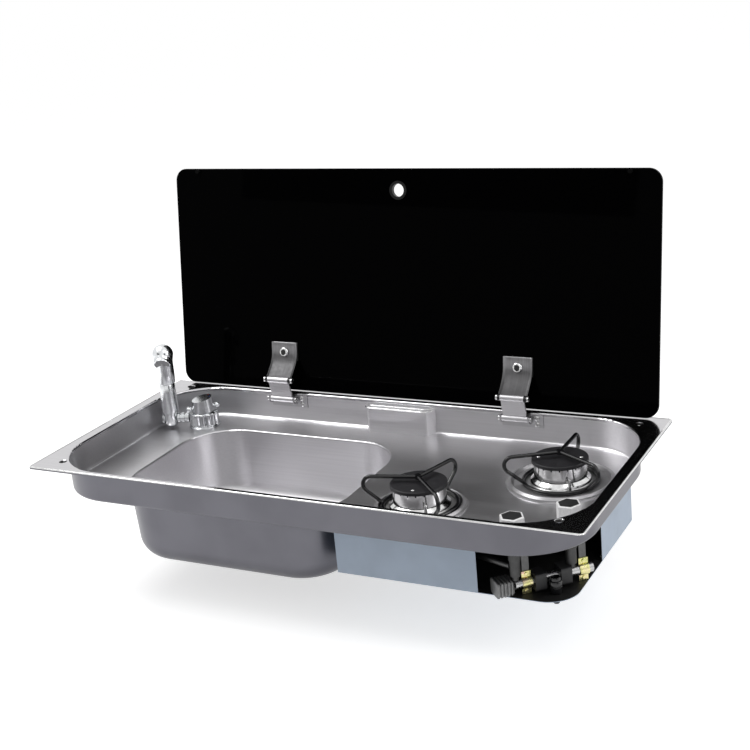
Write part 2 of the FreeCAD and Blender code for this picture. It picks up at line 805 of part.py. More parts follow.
def make_burner(name, burner):
    """One burner above and below the pan floor. Heights are from the floor."""
    cup_rim = S.cup_rim / 2
    cup = S.cup_width / 2
    stem = S.stem_width / 2
    seat = S.cup_rim_thick
    throat = stem - S.cup_wall
    body = turned(name + "_burner_cup", [
        (throat, seat), (cup_rim, seat), (cup_rim, 0), (cup, 0), (cup, -S.cup_drop),
        (stem, -S.cup_drop - stem / 2), (stem, -S.stem_drop), (0, -S.stem_drop),
        (0, S.cup_wall - S.stem_drop), (throat, S.cup_wall - S.stem_drop),
    ], burner.x, burner.y, FLOOR)
    sensor_hole = Drawing(body, "XY_Plane", seat).circle(*sensor_offset(), S.sensor_width + S.loose_fit)
    pocket(sensor_hole, 2 * seat)

    foot = S.head_foot / 2
    top = S.head_top / 2
    inner = top - S.head_wall
    head_top = seat + S.head_height
    foot_top = seat + S.head_foot_height
    head = turned(name + "_burner_head", [
        (throat, seat), (foot, seat), (foot + S.head_wall / 4, (seat + foot_top) / 2), (foot, foot_top),
        (top + S.head_wall / 5, foot_top + S.head_wall), (top, head_top), (inner, head_top),
        (inner, foot_top), (throat, foot_top),
    ], burner.x, burner.y, FLOOR)
    port = Drawing(head, "XZ_Plane").polygon([
        (inner - S.head_wall, head_top - S.port_height), (foot + S.head_wall, head_top - S.port_height),
        (foot + S.head_wall, head_top + S.port_height), (inner - S.head_wall, head_top + S.port_height)])
    polar_pattern(pocket(port, S.port_width, both_ways=True), PORTS)

    cap = S.cap_width / 2
    spigot = inner - S.loose_fit / 2
    cap_top = head_top + S.cap_height
    lid = new_body(name + "_burner_cap", burner.x, burner.y, FLOOR)
    solid = revolve(Drawing(lid, "XZ_Plane").polygon([
        (0, head_top - S.cap_spigot), (spigot, head_top - S.cap_spigot), (spigot, head_top), (cap, head_top),
        (cap, cap_top), (0, cap_top)]))
    soften(solid, S.cap_round, level_at(cap_top))
    make_drip_ring(name, burner)
    make_pan_support(name, burner)


def make_drip_ring(name, burner):
    """Pressed ring around a burner: an outer ledge, a raised bead and a trough that holds the pan support."""
    outer = burner.ring / 2
    inner = S.cup_rim / 2 + S.loose_fit
    ledge = outer - S.ring_ledge_width
    bead = ledge - S.ring_bead_width
    crest = ledge - S.ring_bead_width / 2
    high = S.ring_bead_height
    low = S.ring_ledge_height
    sheet = S.sheet
    turned(name + "_drip_ring", [
        (inner, 0), (inner, sheet), (bead, sheet), (crest - sheet, high - sheet / 2), (crest, high),
        (crest + sheet, high - sheet / 2), (ledge, low), (outer - sheet, low - sheet / 2), (outer, 0),
        (outer - sheet, 0), (outer - 2 * sheet, low - 1.5 * sheet), (ledge - sheet / 2, low - sheet),
        (crest, high - 1.5 * sheet), (bead + sheet, 0),
    ], burner.x, burner.y, FLOOR)


def make_pan_support(name, burner):
    """Bent wire star: each arm runs out over the cap, bends down and comes back in to the foot ring."""
    wire = S.wire / 2
    ring = S.support_ring / 2
    ring_z = S.sheet + S.ring_wire / 2
    start = S.support_hub / 3
    bar_z = S.support_height - wire
    bend = S.support_bend
    centre = S.support_reach - bend
    body = new_body(name + "_pan_support", burner.x, burner.y, FLOOR, Vector(0, 0, 1), burner.support)
    revolve(Drawing(body, "XZ_Plane").circle(ring, ring_z, S.ring_wire))
    doc.recompute()
    path = Drawing(body, "XZ_Plane")
    bend_z = bar_z - bend
    drop = math.hypot(centre.value - ring.value, bend_z.value - ring_z.value)
    inward = math.atan2(ring_z.value - bend_z.value, ring.value - centre.value)
    leave = inward + math.acos(bend.value / drop)
    arc_end = bend.value * math.cos(leave), bend.value * math.sin(leave)
    tangent = Vector(centre.value + arc_end[0], bend_z.value + arc_end[1], 0)
    circle = Part.Circle(Vector(centre.value, bend_z.value, 0), Vector(0, 0, 1), bend.value)
    path.sketch.addGeometry([
        Part.LineSegment(Vector(start.value, bar_z.value, 0), Vector(centre.value, bar_z.value, 0)),
        Part.ArcOfCircle(circle, leave, math.pi / 2),
        Part.LineSegment(tangent, Vector(ring.value, ring_z.value, 0)),
    ], False)
    path.hold("Horizontal", 0)
    path.hold("Tangent", 0, 2, 1, 2)
    path.hold("Tangent", 1, 1, 2, 1)
    path.place(0, 1, start, bar_z)
    path.fix("Radius", 1, size=bend)
    path.fix("DistanceX", -1, 1, 1, 3, size=centre)
    path.place(2, 2, ring, ring_z)
    section = Drawing(body, "YZ_Plane", start).circle(0, bar_z, S.wire)
    doc.recompute()
    arm = feature_of(section, "AdditivePipe")
    arm.Spine = path.sketch
    doc.recompute()
    polar_pattern(arm, SUPPORT_ARMS)
    doc.recompute()
    hub = Drawing(body, "XY_Plane", bar_z - S.ring_wire / 2).circle(0, 0, S.support_hub)
    body.Tip = pad(hub, S.ring_wire)


def make_cap_rivets():
    rivets = []
    seat = S.cup_rim_thick + S.head_height + S.cap_height
    half = S.rivet_width / 2
    for name, burner in BURNERS.items():
        for side in (-1, 1):
            reach = side * S.rivet_spacing / 2
            x = burner.x + reach * cosine(burner.rivets)
            y = burner.y + reach * sine(burner.rivets)
            rivets.append(turned("rivet_%s_%d" % (name, side), [
                (0, 0), (half, 0), (half * 0.7, S.rivet_height * 0.75), (0, S.rivet_height),
            ], x, y, FLOOR + seat))
    return group("cap_rivets", rivets)


def make_flame_sensors():
    sensors = []
    half = S.sensor_width / 2
    tip = S.sensor_height
    for name, burner in BURNERS.items():
        x, y = sensor_place(burner)
        sensors.append(turned("sensor_" + name, [
            (0, -S.sensor_drop), (half, -S.sensor_drop), (half, tip - half), (half / 2, tip), (0, tip),
        ], x, y, FLOOR))
    return group("flame_sensors", sensors)


def make_supply_pipes():
    """Straight gas pipes from each tap to its burner's stem."""
    pipes = []
    for name, burner in BURNERS.items():
        across, along = burner.x - burner.knob_x, burner.y - burner.knob_y
        start = S.tap_width / 2 + S.loose_fit
        length = distance(across, along) - start - S.stem_width / 2 - S.loose_fit
        level = FLOOR - S.stem_drop + S.pipe_width
        turn = bearing(along, across)
        pipe = new_body("pipe_" + name, burner.knob_x, burner.knob_y, level, Vector(0, 0, 1), turn)
        drawing = Drawing(pipe, "YZ_Plane", start)
        drawing.circle(0, 0, S.pipe_width)
        drawing.circle(0, 0, S.pipe_width - 2 * S.sheet)
        pad(drawing, length)
        pipes.append(pipe)
    return group("supply_pipes", pipes)


def make_gas_tap(name, burner):
    """Gas tap under a knob: body, sprung sleeve, spindle, knob and its top. Heights are from the floor."""
    place = (burner.knob_x, burner.knob_y, FLOOR)
    tap = S.tap_width / 2
    bonnet = S.bonnet_width / 2
    bonnet_top = -S.bonnet_drop
    shoulder = bonnet_top - S.bonnet_height
    nipple = S.tap_nipple / 2
    nipple_low = RAIL_Z + S.rail_width / 2 + S.running_fit - FLOOR
    low = RAIL_Z + S.housing_width / 2 + S.loose_fit - FLOOR
    sleeve = S.sleeve_width / 2
    bore = sleeve + S.running_fit
    sleeve_top = bonnet_top + S.sleeve_stand
    sleeve_low = sleeve_top - S.sleeve_length
    bore_low = sleeve_low - S.spring_room
    turned(name + "_gas_tap", [
        (0, nipple_low), (nipple, nipple_low), (nipple, low), (tap, low), (tap, shoulder), (bonnet, shoulder),
        (bonnet, bonnet_top), (bore, bonnet_top), (bore, bore_low), (0, bore_low)], *place)
    spindle = S.spindle_width / 2
    turned(name + "_push_sleeve", [
        (spindle + S.running_fit, sleeve_low), (sleeve, sleeve_low), (sleeve, sleeve_top),
        (spindle + S.running_fit, sleeve_top)], *place)
    collar = S.spindle_collar / 2
    collar_top = sleeve_top + S.collar_thick
    knob_top = S.knob_gap + S.knob_height
    spindle_top = knob_top - S.insert_thick - 2 * S.insert_border
    turned(name + "_spindle", [
        (0, sleeve_low), (spindle, sleeve_low), (spindle, sleeve_top), (collar, sleeve_top),
        (collar, collar_top), (spindle, collar_top), (spindle, spindle_top), (0, spindle_top)], *place)
    knob = new_body(name + "_knob", *place)
    prism = pad(hexagon(Drawing(knob, "XY_Plane", S.knob_gap), S.knob_width), S.knob_height)
    prism = soften(prism, S.knob_edge, level_at(knob_top))
    recess = hexagon(Drawing(knob, "XY_Plane", knob_top), S.knob_width - 2 * S.insert_border)
    pocket(recess, S.insert_thick)
    socket = Drawing(knob, "XY_Plane", S.knob_gap).circle(0, 0, S.spindle_width + 2 * S.running_fit)
    pocket(socket, spindle_top + S.running_fit - S.knob_gap, reverse=True)
    insert = new_body(name + "_knob_insert", *place)
    inlay = hexagon(Drawing(insert, "XY_Plane", knob_top - S.insert_thick),
                    S.knob_width - 2 * (S.insert_border + S.running_fit))
    pad(inlay, S.insert_thick)


def hexagon(drawing, flats):
    """A six-sided outline with the given width across its flats, and corners on the X axis."""
    reach = flats / math.sqrt(3)
    half = flats / 2
    return drawing.polygon([
        (reach, 0), (reach / 2, half), (-reach / 2, half),
        (-reach, 0), (-reach / 2, -half), (reach / 2, -half)])


def casing_band(width):
    """The casing in plan: a band of a given width inside its panels, open at the front right corner."""
    left, right = CASING_LEFT, CASING_RIGHT
    front, rear = CASING_FRONT, CASING_REAR
    return [
        (OPEN_X, front), (OPEN_X, front + width), (left + width, front + width),
        (left + width, rear - width), (right - width, rear - width), (right - width, OPEN_Y),
        (right, OPEN_Y), (right, rear), (left, rear), (left, front)]


def casing_screw_places():
    inset = S.casing_fold / 2
    middle = (CASING_LEFT + CASING_RIGHT) / 2
    right = CASING_RIGHT - inset
    left = CASING_LEFT + inset
    front = CASING_FRONT + inset
    rear = CASING_REAR - inset
    return [(left + S.casing_fold, front), (OPEN_X - S.casing_fold, front), (left, rear), (middle, rear),
            (right, rear), (right, OPEN_Y + S.casing_fold)]


def make_casing():
    """Folded sheet box round the burners, and the plate that closes it below."""
    casing = new_body("burner_casing")
    walls = Drawing(casing, "XY_Plane", BASE_TOP).polygon(casing_band(S.sheet))
    pad(walls, S.casing_depth + UNDERSIDE)
    fold = Drawing(casing, "XY_Plane", BASE_TOP).polygon(casing_band(S.casing_fold))
    for x, y in casing_screw_places():
        fold.circle(x, y, S.screw_width + S.running_fit)
    pad(fold, S.sheet)
    base = new_body("base_plate")
    left, right = CASING_LEFT, CASING_RIGHT
    front, rear = CASING_FRONT, CASING_REAR
    outline = Drawing(base, "XY_Plane", BASE_TOP)
    outline.polygon([(left, front), (right, front), (right, rear), (left, rear)])
    plate = pad(outline, S.sheet, reverse=True)
    soften(plate, S.base_corner, upright_at(right, front))
    holes = Drawing(base, "XY_Plane", BASE_TOP)
    for x, y in casing_screw_places():
        holes.circle(x, y, S.screw_width + S.running_fit)
    holes.circle(*inlet_place(), S.inlet_nut + S.loose_fit)
    pocket(holes)
    screws = []
    for number, (x, y) in enumerate(casing_screw_places()):
        screws.append(screw("casing_screw_%d" % number, x, y, BASE_TOP - S.sheet))
    return group("casing_screws", screws)


def screw(label, x, y, z, axis=None, turn=0):
    """A pan head screw with its head below z and its shank above."""
    head = S.screw_head / 2
    shank = S.screw_width / 2
    low = -S.screw_head_height
    return turned(label, [
        (0, low), (head * 0.6, low), (head, low / 2), (head, 0), (shank, 0), (shank, S.screw_length),
        (0, S.screw_length)], x, y, z, axis, turn)


def rail_frame():
    """The slant of the gas rail, which runs below both knobs."""
    across = RAIL_END.knob_x - RAIL_START.knob_x
    along = RAIL_END.knob_y - RAIL_START.knob_y
    return across, along, bearing(along, across)


def rail_point(along_rail, beside):
    """A place given along the rail from the front knob, and beside it away from the burners."""
    across, along, _ = rail_frame()
    length = distance(across, along)
    x = RAIL_START.knob_x + (along_rail * across + beside * along) / length
    y = RAIL_START.knob_y + (along_rail * along - beside * across) / length
    return x, y


def inlet_place():
    return rail_point(S.inlet_along, (S.rail_width + S.inlet_body) / 2 + S.running_fit)


def rail_body(label):
    """A body whose X axis runs along the gas rail and whose origin is on the rail below the front knob."""
    _, _, turn = rail_frame()
    return new_body(label, RAIL_START.knob_x, RAIL_START.knob_y, RAIL_Z, Vector(0, 0, 1), turn)


def make_gas_rail():
    """The rail with what clamps it, and what is fitted on it, in the casing's open corner."""
    rail = rail_body("gas_rail")
    tube = Drawing(rail, "YZ_Plane", S.rail_start)
    tube.circle(0, 0, S.rail_width)
    tube.circle(0, 0, S.rail_bore)
    pad(tube, S.rail_end - S.rail_start)
    clear = S.rail_width + 2 * S.running_fit

    housings = []
    half = S.housing_width / 2
    for number, place in enumerate((S.housing_near, S.housing_far)):
        housing = rail_body("housing_%d" % number)
        block = Drawing(housing, "YZ_Plane", place - S.housing_length / 2)
        block.rounded_rectangle(-half, half, -half, half, S.housing_width / 8)
        block.circle(0, 0, clear)
        pad(block, S.housing_length)
        housings.append(housing)
    group("valve_housings", housings)

    straps = []
    hangers = []
    ear_reach = clear / 2 + S.strap_thick + S.strap_ear
    for number, place in enumerate((S.strap_near, S.strap_far)):
        straps.append(make_strap("strap_%d" % number, place, clear, ear_reach))
        straps += make_strap_rivets(number, place, ear_reach)
        hangers.append(make_hanger("hanger_%d" % number, place, clear, ear_reach))
    group("rail_straps", straps)
    group("rail_hangers", hangers)

    casting = rail_body("rail_end_casting")
    block = Drawing(casting, "XY_Plane", -S.rail_rise).polygon([
        (S.rail_start - S.casting_length, -S.rail_width / 6), (S.rail_start, -S.rail_width / 6),
        (S.rail_start, S.casting_width), (S.rail_start - S.casting_length, S.casting_width)])
    solid = pad(block, S.rail_rise + S.rail_width / 2 - S.running_fit)
    soften(solid, S.casting_round, upright_at(S.rail_start - S.casting_length, -S.rail_width / 6))
    make_gas_inlet()


def make_strap(label, place, clear, ear_reach):
    """A zinc clip round the rail with an ear above and below."""
    strap = rail_body(label)
    thick = S.strap_thick
    outer = clear + 2 * thick
    ears = Drawing(strap, "YZ_Plane", place).polygon([
        (-thick, -ear_reach), (0, -ear_reach), (0, ear_reach), (-thick, ear_reach)])
    pad(ears, S.strap_width, both_ways=True)
    pad(Drawing(strap, "YZ_Plane", place).circle(0, 0, outer), S.strap_width, both_ways=True)
    pocket(Drawing(strap, "YZ_Plane", place).circle(0, 0, clear), S.strap_width, both_ways=True)
    back = Drawing(strap, "YZ_Plane", place)
    back.polygon([(0, -outer), (outer, -outer), (outer, outer), (0, outer)])
    pocket(back, S.strap_width, both_ways=True)
    return strap


def make_strap_rivets(number, place, ear_reach):
    """Rivet heads on the ears of one strap."""
    rivets = []
    half = S.strap_rivet / 2
    for side in (-1, 1):
        rivet = rail_body("strap_rivet_%d_%d" % (number, side))
        head = Drawing(rivet, "XZ_Plane", S.strap_thick)
        head.circle(place, side * (ear_reach - S.strap_ear / 2), 2 * half)
        head = pad(head, half / 2)
        lifted = S.strap_thick + half / 2
        soften(head, half / 3, lambda edge: all(abs(v.Y + lifted.value) < NEAR for v in edge.Vertexes))
        rivets.append(rivet)
    return rivets


def make_hanger(label, place, clear, ear_reach):
    """A strip bent round the back of the rail that hangs it and its strap from the pan's underside."""
    hanger = rail_body(label)
    top = UNDERSIDE - RAIL_Z
    near = clear / 2
    thick = S.hanger_thick
    far = near + thick
    strip = Drawing(hanger, "YZ_Plane", place).polygon([
        (0, top), (0, near), (near, near), (near, -near), (0, -near), (0, -ear_reach),
        (thick, -ear_reach), (thick, -far), (far, -far), (far, far), (thick, far), (thick, top)])
    pad(strip, S.hanger_width, both_ways=True)
    return hanger


def make_gas_inlet():
    """Inlet fitting beside the rail, through the base plate, with a bare pipe end to connect to."""
    body = S.inlet_body / 2
    nut = S.inlet_nut / 2
    pipe = S.inlet_pipe / 2
    rise = S.rail_rise + S.rail_width / 2
    x, y = inlet_place()
    turned("gas_inlet", [
        (0, rise), (body, rise), (body, 0), (nut, 0), (nut, -S.inlet_drop / 2), (pipe, -S.inlet_drop / 2),
        (pipe, -S.inlet_drop - S.sheet), (0, -S.inlet_drop - S.sheet)], x, y, BASE_TOP)


def make_mixer():
    """Ribbed mixer body on the pan floor with its shank, nut and inlet tails below."""
    drum = S.mixer_width / 2
    foot = S.mixer_foot / 2
    shank = S.mixer_shank / 2
    stub = S.mixer_stub / 2
    top = S.mixer_height
    shank_low = -S.shank_length
    body = new_body("mixer_body", MIXER_X, MIXER_Y, FLOOR)
    revolve(Drawing(body, "XZ_Plane").polygon([
        (0, shank_low), (shank, shank_low), (shank, 0), (foot, 0), (foot, S.mixer_foot_height),
        (drum, S.mixer_foot_height), (drum, top), (stub, top), (stub, top + S.handle_bar_height),
        (0, top + S.handle_bar_height)]))
    doc.recompute()
    flute = Drawing(body, "XY_Plane", top).polygon([
        (drum - S.rib_depth, -S.rib_width / 2), (drum + S.rib_depth, -S.rib_width / 2),
        (drum + S.rib_depth, S.rib_width / 2), (drum - S.rib_depth, S.rib_width / 2)])
    polar_pattern(pocket(flute, top - S.mixer_foot_height - S.rib_depth), RIBS)
    doc.recompute()
    tails = Drawing(body, "XY_Plane", shank_low)
    for side in (-1, 1):
        tails.circle(0, side * S.inlet_tail_spacing / 2, S.inlet_spigot + 2 * S.running_fit)
    body.Tip = pocket(tails, S.inlet_tail, reverse=True)

    hole = shank + S.running_fit
    nut_top = UNDERSIDE - FLOOR
    nut_low = nut_top - S.backnut_height
    nut = new_body("mixer_backnut", MIXER_X, MIXER_Y, FLOOR)
    ring = hexagon(Drawing(nut, "XY_Plane", nut_low), S.backnut_width)
    ring.circle(0, 0, 2 * hole)
    pad(ring, S.backnut_height)
    outer = S.inlet_tail / 2
    spigot = S.inlet_spigot / 2
    bore = spigot - S.inlet_wall
    high = shank_low + S.inlet_tail
    low = shank_low - S.inlet_tail_length
    pipes = []
    for side in (-1, 1):
        pipes.append(turned("tail_%d" % side, [
            (bore, low), (outer, low), (outer, shank_low), (spigot, shank_low), (spigot, high), (bore, high)],
            MIXER_X, MIXER_Y + side * S.inlet_tail_spacing / 2, FLOOR))
    group("inlet_tails", pipes)


def make_swivel_neck():
    """Ringed neck between mixer and spout; its pin carries the spout."""
    ring = S.swivel_ring / 2
    waist = S.swivel_waist / 2
    pin = S.swivel_pin / 2
    start = S.mixer_width / 2
    near = S.mixer_from_tap - S.spout_flats / 2 - S.running_fit
    far = S.mixer_from_tap + S.spout_flats / 2 + S.running_fit
    step = (near - start) / 5
    profile = [
        (start, 0), (start, ring), (start + step, ring), (start + step, waist),
        (start + 2 * step, waist), (start + 2 * step, ring), (start + 3 * step, ring),
        (start + 3 * step, waist), (start + 4 * step, waist), (start + 4 * step, ring),
        (near, ring), (near, pin), (far, pin), (far, ring),
        (far + S.swivel_cap, ring - S.swivel_cap / 2), (far + S.swivel_cap, 0)]
    body = new_body("swivel_neck", MIXER_X, MIXER_Y, SWIVEL_Z, Vector(0, 0, 1), S.tap_turn)
    drawing = Drawing(body, "XZ_Plane").polygon([(-along, radius) for along, radius in profile])
    revolve(drawing, "H_Axis")


def add_ball(body, label, width, x, z):
    """A ball on the body's XZ plane."""
    ball = body.newObject("PartDesign::AdditiveSphere", label)
    bind(ball, "Radius", width / 2)
    plane = [item for item in body.Origin.OriginFeatures if item.Role == "XY_Plane"][0]
    ball.AttachmentSupport = [(plane, "")]
    ball.MapMode = "FlatFace"
    bind(ball, "AttachmentOffset.Base.x", x)
    bind(ball, "AttachmentOffset.Base.z", z)
    doc.recompute()


def make_spout():
    """Folding pillar with a ball foot and a hooded head, and its nozzle. The origin is the fold axis."""
    foot = S.spout_foot / 2
    neck = S.spout_neck / 2
    flat = S.spout_flats / 2
    body = new_body("tap_spout", TAP_X, TAP_Y, SWIVEL_Z, Vector(0, 0, 1), S.tap_turn)
    revolve(Drawing(body, "XZ_Plane").polygon([
        (0, 0), (foot, 0), (neck, S.spout_length), (0, S.spout_length)]))
    doc.recompute()
    add_ball(body, "spout_foot_ball", S.spout_foot, 0, 0)
    add_ball(body, "spout_dome", S.spout_head, 0, S.spout_length)
    lean = 90 + S.nozzle_lean
    hood = nozzle_drawing(body, 0, lean).circle(0, 0, S.nozzle_width)
    pad(hood, S.nozzle_reach)
    mouth = nozzle_drawing(body, S.nozzle_reach, lean).circle(0, 0, S.aerator_width + 2 * S.running_fit)
    pocket(mouth, S.aerator_depth)
    flats = Drawing(body, "XZ_Plane")
    for side in (-1, 1):
        inner, outer = side * flat, side * S.spout_foot
        flats.polygon([
            (inner, -S.spout_foot), (outer, -S.spout_foot), (outer, S.spout_yoke), (inner, S.spout_yoke)])
    pocket(flats, both_ways=True)
    pocket(Drawing(body, "YZ_Plane").circle(0, 0, S.swivel_pin + 2 * S.running_fit), both_ways=True)

    nozzle = new_body("spout_nozzle", TAP_X, TAP_Y, SWIVEL_Z, Vector(0, 0, 1), S.tap_turn)
    disc = nozzle_drawing(nozzle, S.nozzle_reach, lean).circle(0, 0, S.aerator_width)
    pad(disc, S.aerator_depth, reverse=True)
    jet = nozzle_drawing(nozzle, S.nozzle_reach, lean).circle(0, 0, S.aerator_depth)
    pocket(jet, S.aerator_depth / 2)


def nozzle_drawing(body, reach, lean):
    """A sketch square to the nozzle's axis, a given reach out from the middle of the head."""
    drawing = Drawing(body, "XY_Plane", S.spout_length + reach * cosine(lean), lean)
    bind(drawing.sketch, "AttachmentOffset.Base.y", -reach * sine(lean))
    return drawing


def make_handle():
    """Mixer handle: a hood with a sloping top, on a cross bar with two balls."""
    half = S.handle_width / 2
    low = S.mixer_height + S.handle_gap
    top = low + S.handle_height
    bar_z = low + S.handle_bar_height
    bore = S.mixer_stub / 2 + S.running_fit
    body = new_body("mixer_handle", MIXER_X, MIXER_Y, FLOOR, Vector(0, 0, 1), S.handle_turn)
    revolve(Drawing(body, "XZ_Plane").polygon([(0, low), (half, low), (half * 0.86, top), (0, top)]))
    bar = Drawing(body, "YZ_Plane").circle(0, bar_z, S.handle_bar)
    pad(bar, 2 * S.handle_reach, both_ways=True)
    doc.recompute()
    for side in (-1, 1):
        add_ball(body, "handle_ball", S.handle_ball, side * S.handle_reach, bar_z)
    slope = Drawing(body, "XZ_Plane").polygon([
        (-S.handle_width, top - S.handle_slope), (-S.handle_width, top + S.handle_slope),
        (S.handle_width, top + S.handle_slope), (half, top)])
    pocket(slope, both_ways=True)
    socket = Drawing(body, "XY_Plane", low).circle(0, 0, 2 * bore)
    pocket(socket, S.handle_bar_height - S.handle_gap + S.running_fit, reverse=True)


def lid_body(label, x=0):
    """A body drawn as the lid lies closed, with its origin on the hinge axis, and stood open."""
    return new_body(label, x, PIVOT_Y, PIVOT_Z, Vector(1, 0, 0), -(90 + S.lid_lean))


def make_lid():
    """Tempered glass with a finger hole and bolt holes, the grommet and the buffers."""
    rear = -S.lid_overlap
    front = S.lid_front - S.rim_depth / 2 - PIVOT_Y
    half = S.rim_width / 2 - S.lid_side
    glass = lid_body("lid_glass")
    outline = Drawing(glass, "XY_Plane", LID_RISE).rounded_rectangle(-half, half, front, rear, S.lid_corner)
    outline.circle(0, front + S.finger_hole_edge, S.finger_hole + 2 * S.grommet_thick)
    for hinge in HINGES.values():
        outline.circle(hinge, rear - S.bolt_place, S.bolt_shank + S.loose_fit)
    pane = pad(outline, S.lid_thick)
    bevel = S.lid_thick / 8

    def on_border(edge):
        flat = level_at(LID_RISE)(edge) or level_at(LID_RISE + S.lid_thick)(edge)
        return flat and all(
            abs(v.X) > half.value - NEAR or v.Y > rear.value - NEAR or v.Y < front.value + NEAR
            for v in edge.Vertexes)

    soften(pane, bevel, on_border, "Chamfer")
    bore = S.finger_hole / 2
    rim = bore + S.grommet_rim
    thick = S.grommet_thick
    ring = lid_body("lid_grommet")
    profile = Drawing(ring, "XZ_Plane", -(front + S.finger_hole_edge)).polygon([
        (bore, LID_RISE - thick), (rim, LID_RISE - thick), (rim, LID_RISE), (bore + thick, LID_RISE),
        (bore + thick, LID_RISE + S.lid_thick), (rim, LID_RISE + S.lid_thick),
        (rim, LID_RISE + S.lid_thick + thick), (bore, LID_RISE + S.lid_thick + thick)])
    revolve(profile)
    buffers = []
    for side in (-1, 1):
        buffer = lid_body("buffer_%d" % side, side * S.buffer_spacing / 2)
        disc = Drawing(buffer, "XY_Plane", LID_RISE).circle(0, front + S.buffer_edge, S.buffer_width)
        pad(disc, S.lid_gap - S.buffer_gap, reverse=True)
        buffers.append(buffer)
    group("lid_buffers", buffers)


def slanted_plate(start, end, half):
    """The four corners of a plate's section between two points, half its thickness to each side."""
    (y1, z1), (y2, z2) = start, end
    length = distance(y2 - y1, z2 - z1)
    across, up = (z1 - z2) * half / length, (y2 - y1) * half / length
    return [(y1 + across, z1 + up), (y2 + across, z2 + up), (y2 - across, z2 - up), (y1 - across, z1 - up)]


def make_hinge(side, x):
    """One hinge: bracket on the rear wall, arm on the pivot pin, knuckle, and leaf bolted to the glass."""
    knuckle = (-S.knuckle_reach, -S.knuckle_drop)
    arm = lid_body("hinge_arm_" + side, x)
    plate = Drawing(arm, "YZ_Plane").polygon(slanted_plate((0, 0), knuckle, S.arm_thick / 2))
    pad(plate, S.arm_neck, both_ways=True)
    pad(Drawing(arm, "YZ_Plane").circle(0, 0, S.barrel), S.arm_width, both_ways=True)
    pad(Drawing(arm, "YZ_Plane").circle(*knuckle, S.barrel), S.arm_neck, both_ways=True)
    bores = Drawing(arm, "YZ_Plane")
    bores.circle(0, 0, S.pivot_pin + 2 * S.running_fit)
    bores.circle(*knuckle, S.knuckle_pin + 2 * S.running_fit)
    pocket(bores, 2 * S.arm_width, both_ways=True)

    leaf_top = LID_RISE - S.leaf_pad
    leaf_low = leaf_top - S.leaf_thick
    near = -S.lid_overlap - S.leaf_start
    far = -S.lid_overlap - S.leaf_end
    leaf = lid_body("hinge_leaf_" + side, x)
    middle = (leaf_top + leaf_low) / 2
    first, second, third, fourth = slanted_plate(knuckle, (near, middle), S.leaf_thick / 2)
    pad(Drawing(leaf, "YZ_Plane").polygon([first, second, third, fourth]), S.leaf_width, both_ways=True)
    flat = Drawing(leaf, "YZ_Plane").polygon([
        (near + S.leaf_thick / 2, leaf_low), (near + S.leaf_thick / 2, leaf_top),
        (far, leaf_top), (far, leaf_low)])
    pad(flat, S.leaf_width, both_ways=True)
    pad(Drawing(leaf, "YZ_Plane").circle(*knuckle, S.barrel), S.leaf_width, both_ways=True)
    gap = Drawing(leaf, "YZ_Plane").circle(*knuckle, S.barrel + 2 * S.loose_fit)
    pocket(gap, S.arm_neck + 2 * S.loose_fit, both_ways=True)
    bore = Drawing(leaf, "YZ_Plane").circle(*knuckle, S.knuckle_pin + 2 * S.running_fit)
    pocket(bore, 2 * S.leaf_width, both_ways=True)
    bolt_hole = Drawing(leaf, "XY_Plane", leaf_top).circle(
        0, -S.lid_overlap - S.bolt_place, S.bolt_shank + 2 * S.running_fit)
    pocket(bolt_hole, 2 * S.leaf_thick)

    bracket = new_body("hinge_bracket_" + side, x, PAN_REAR, BRACKET_TOP)
    ear_start = S.arm_width / 2 + 4 * S.running_fit
    ear_end = ear_start + S.ear_thick
    base = Drawing(bracket, "XZ_Plane").polygon([
        (-ear_end, -S.bracket_height), (ear_end + S.bracket_foot, -S.bracket_height),
        (ear_end + S.bracket_foot, 0), (-ear_end, 0)])
    for screw_x, screw_z in bracket_screw_places():
        if abs(screw_x.value - (x + FOOT_X).value) < NEAR:
            base.circle(screw_x - x, screw_z - BRACKET_TOP, S.screw_width + S.running_fit)
    pad(base, S.bracket_thick)
    pivot = (-S.pivot_inset, PIVOT_Z - BRACKET_TOP)
    reach = S.barrel / 2
    for start in (-ear_end, ear_start):
        ear = Drawing(bracket, "YZ_Plane", start).polygon([
            (-S.bracket_thick, -S.bracket_height + reach), (-S.bracket_thick, 0), (-S.pivot_inset - reach, 0),
            (-S.pivot_inset - reach, pivot[1] - reach)])
        pad(ear, S.ear_thick)
    pocket(Drawing(bracket, "YZ_Plane").circle(*pivot, S.pivot_pin + 2 * S.running_fit), both_ways=True)
    return ear_end


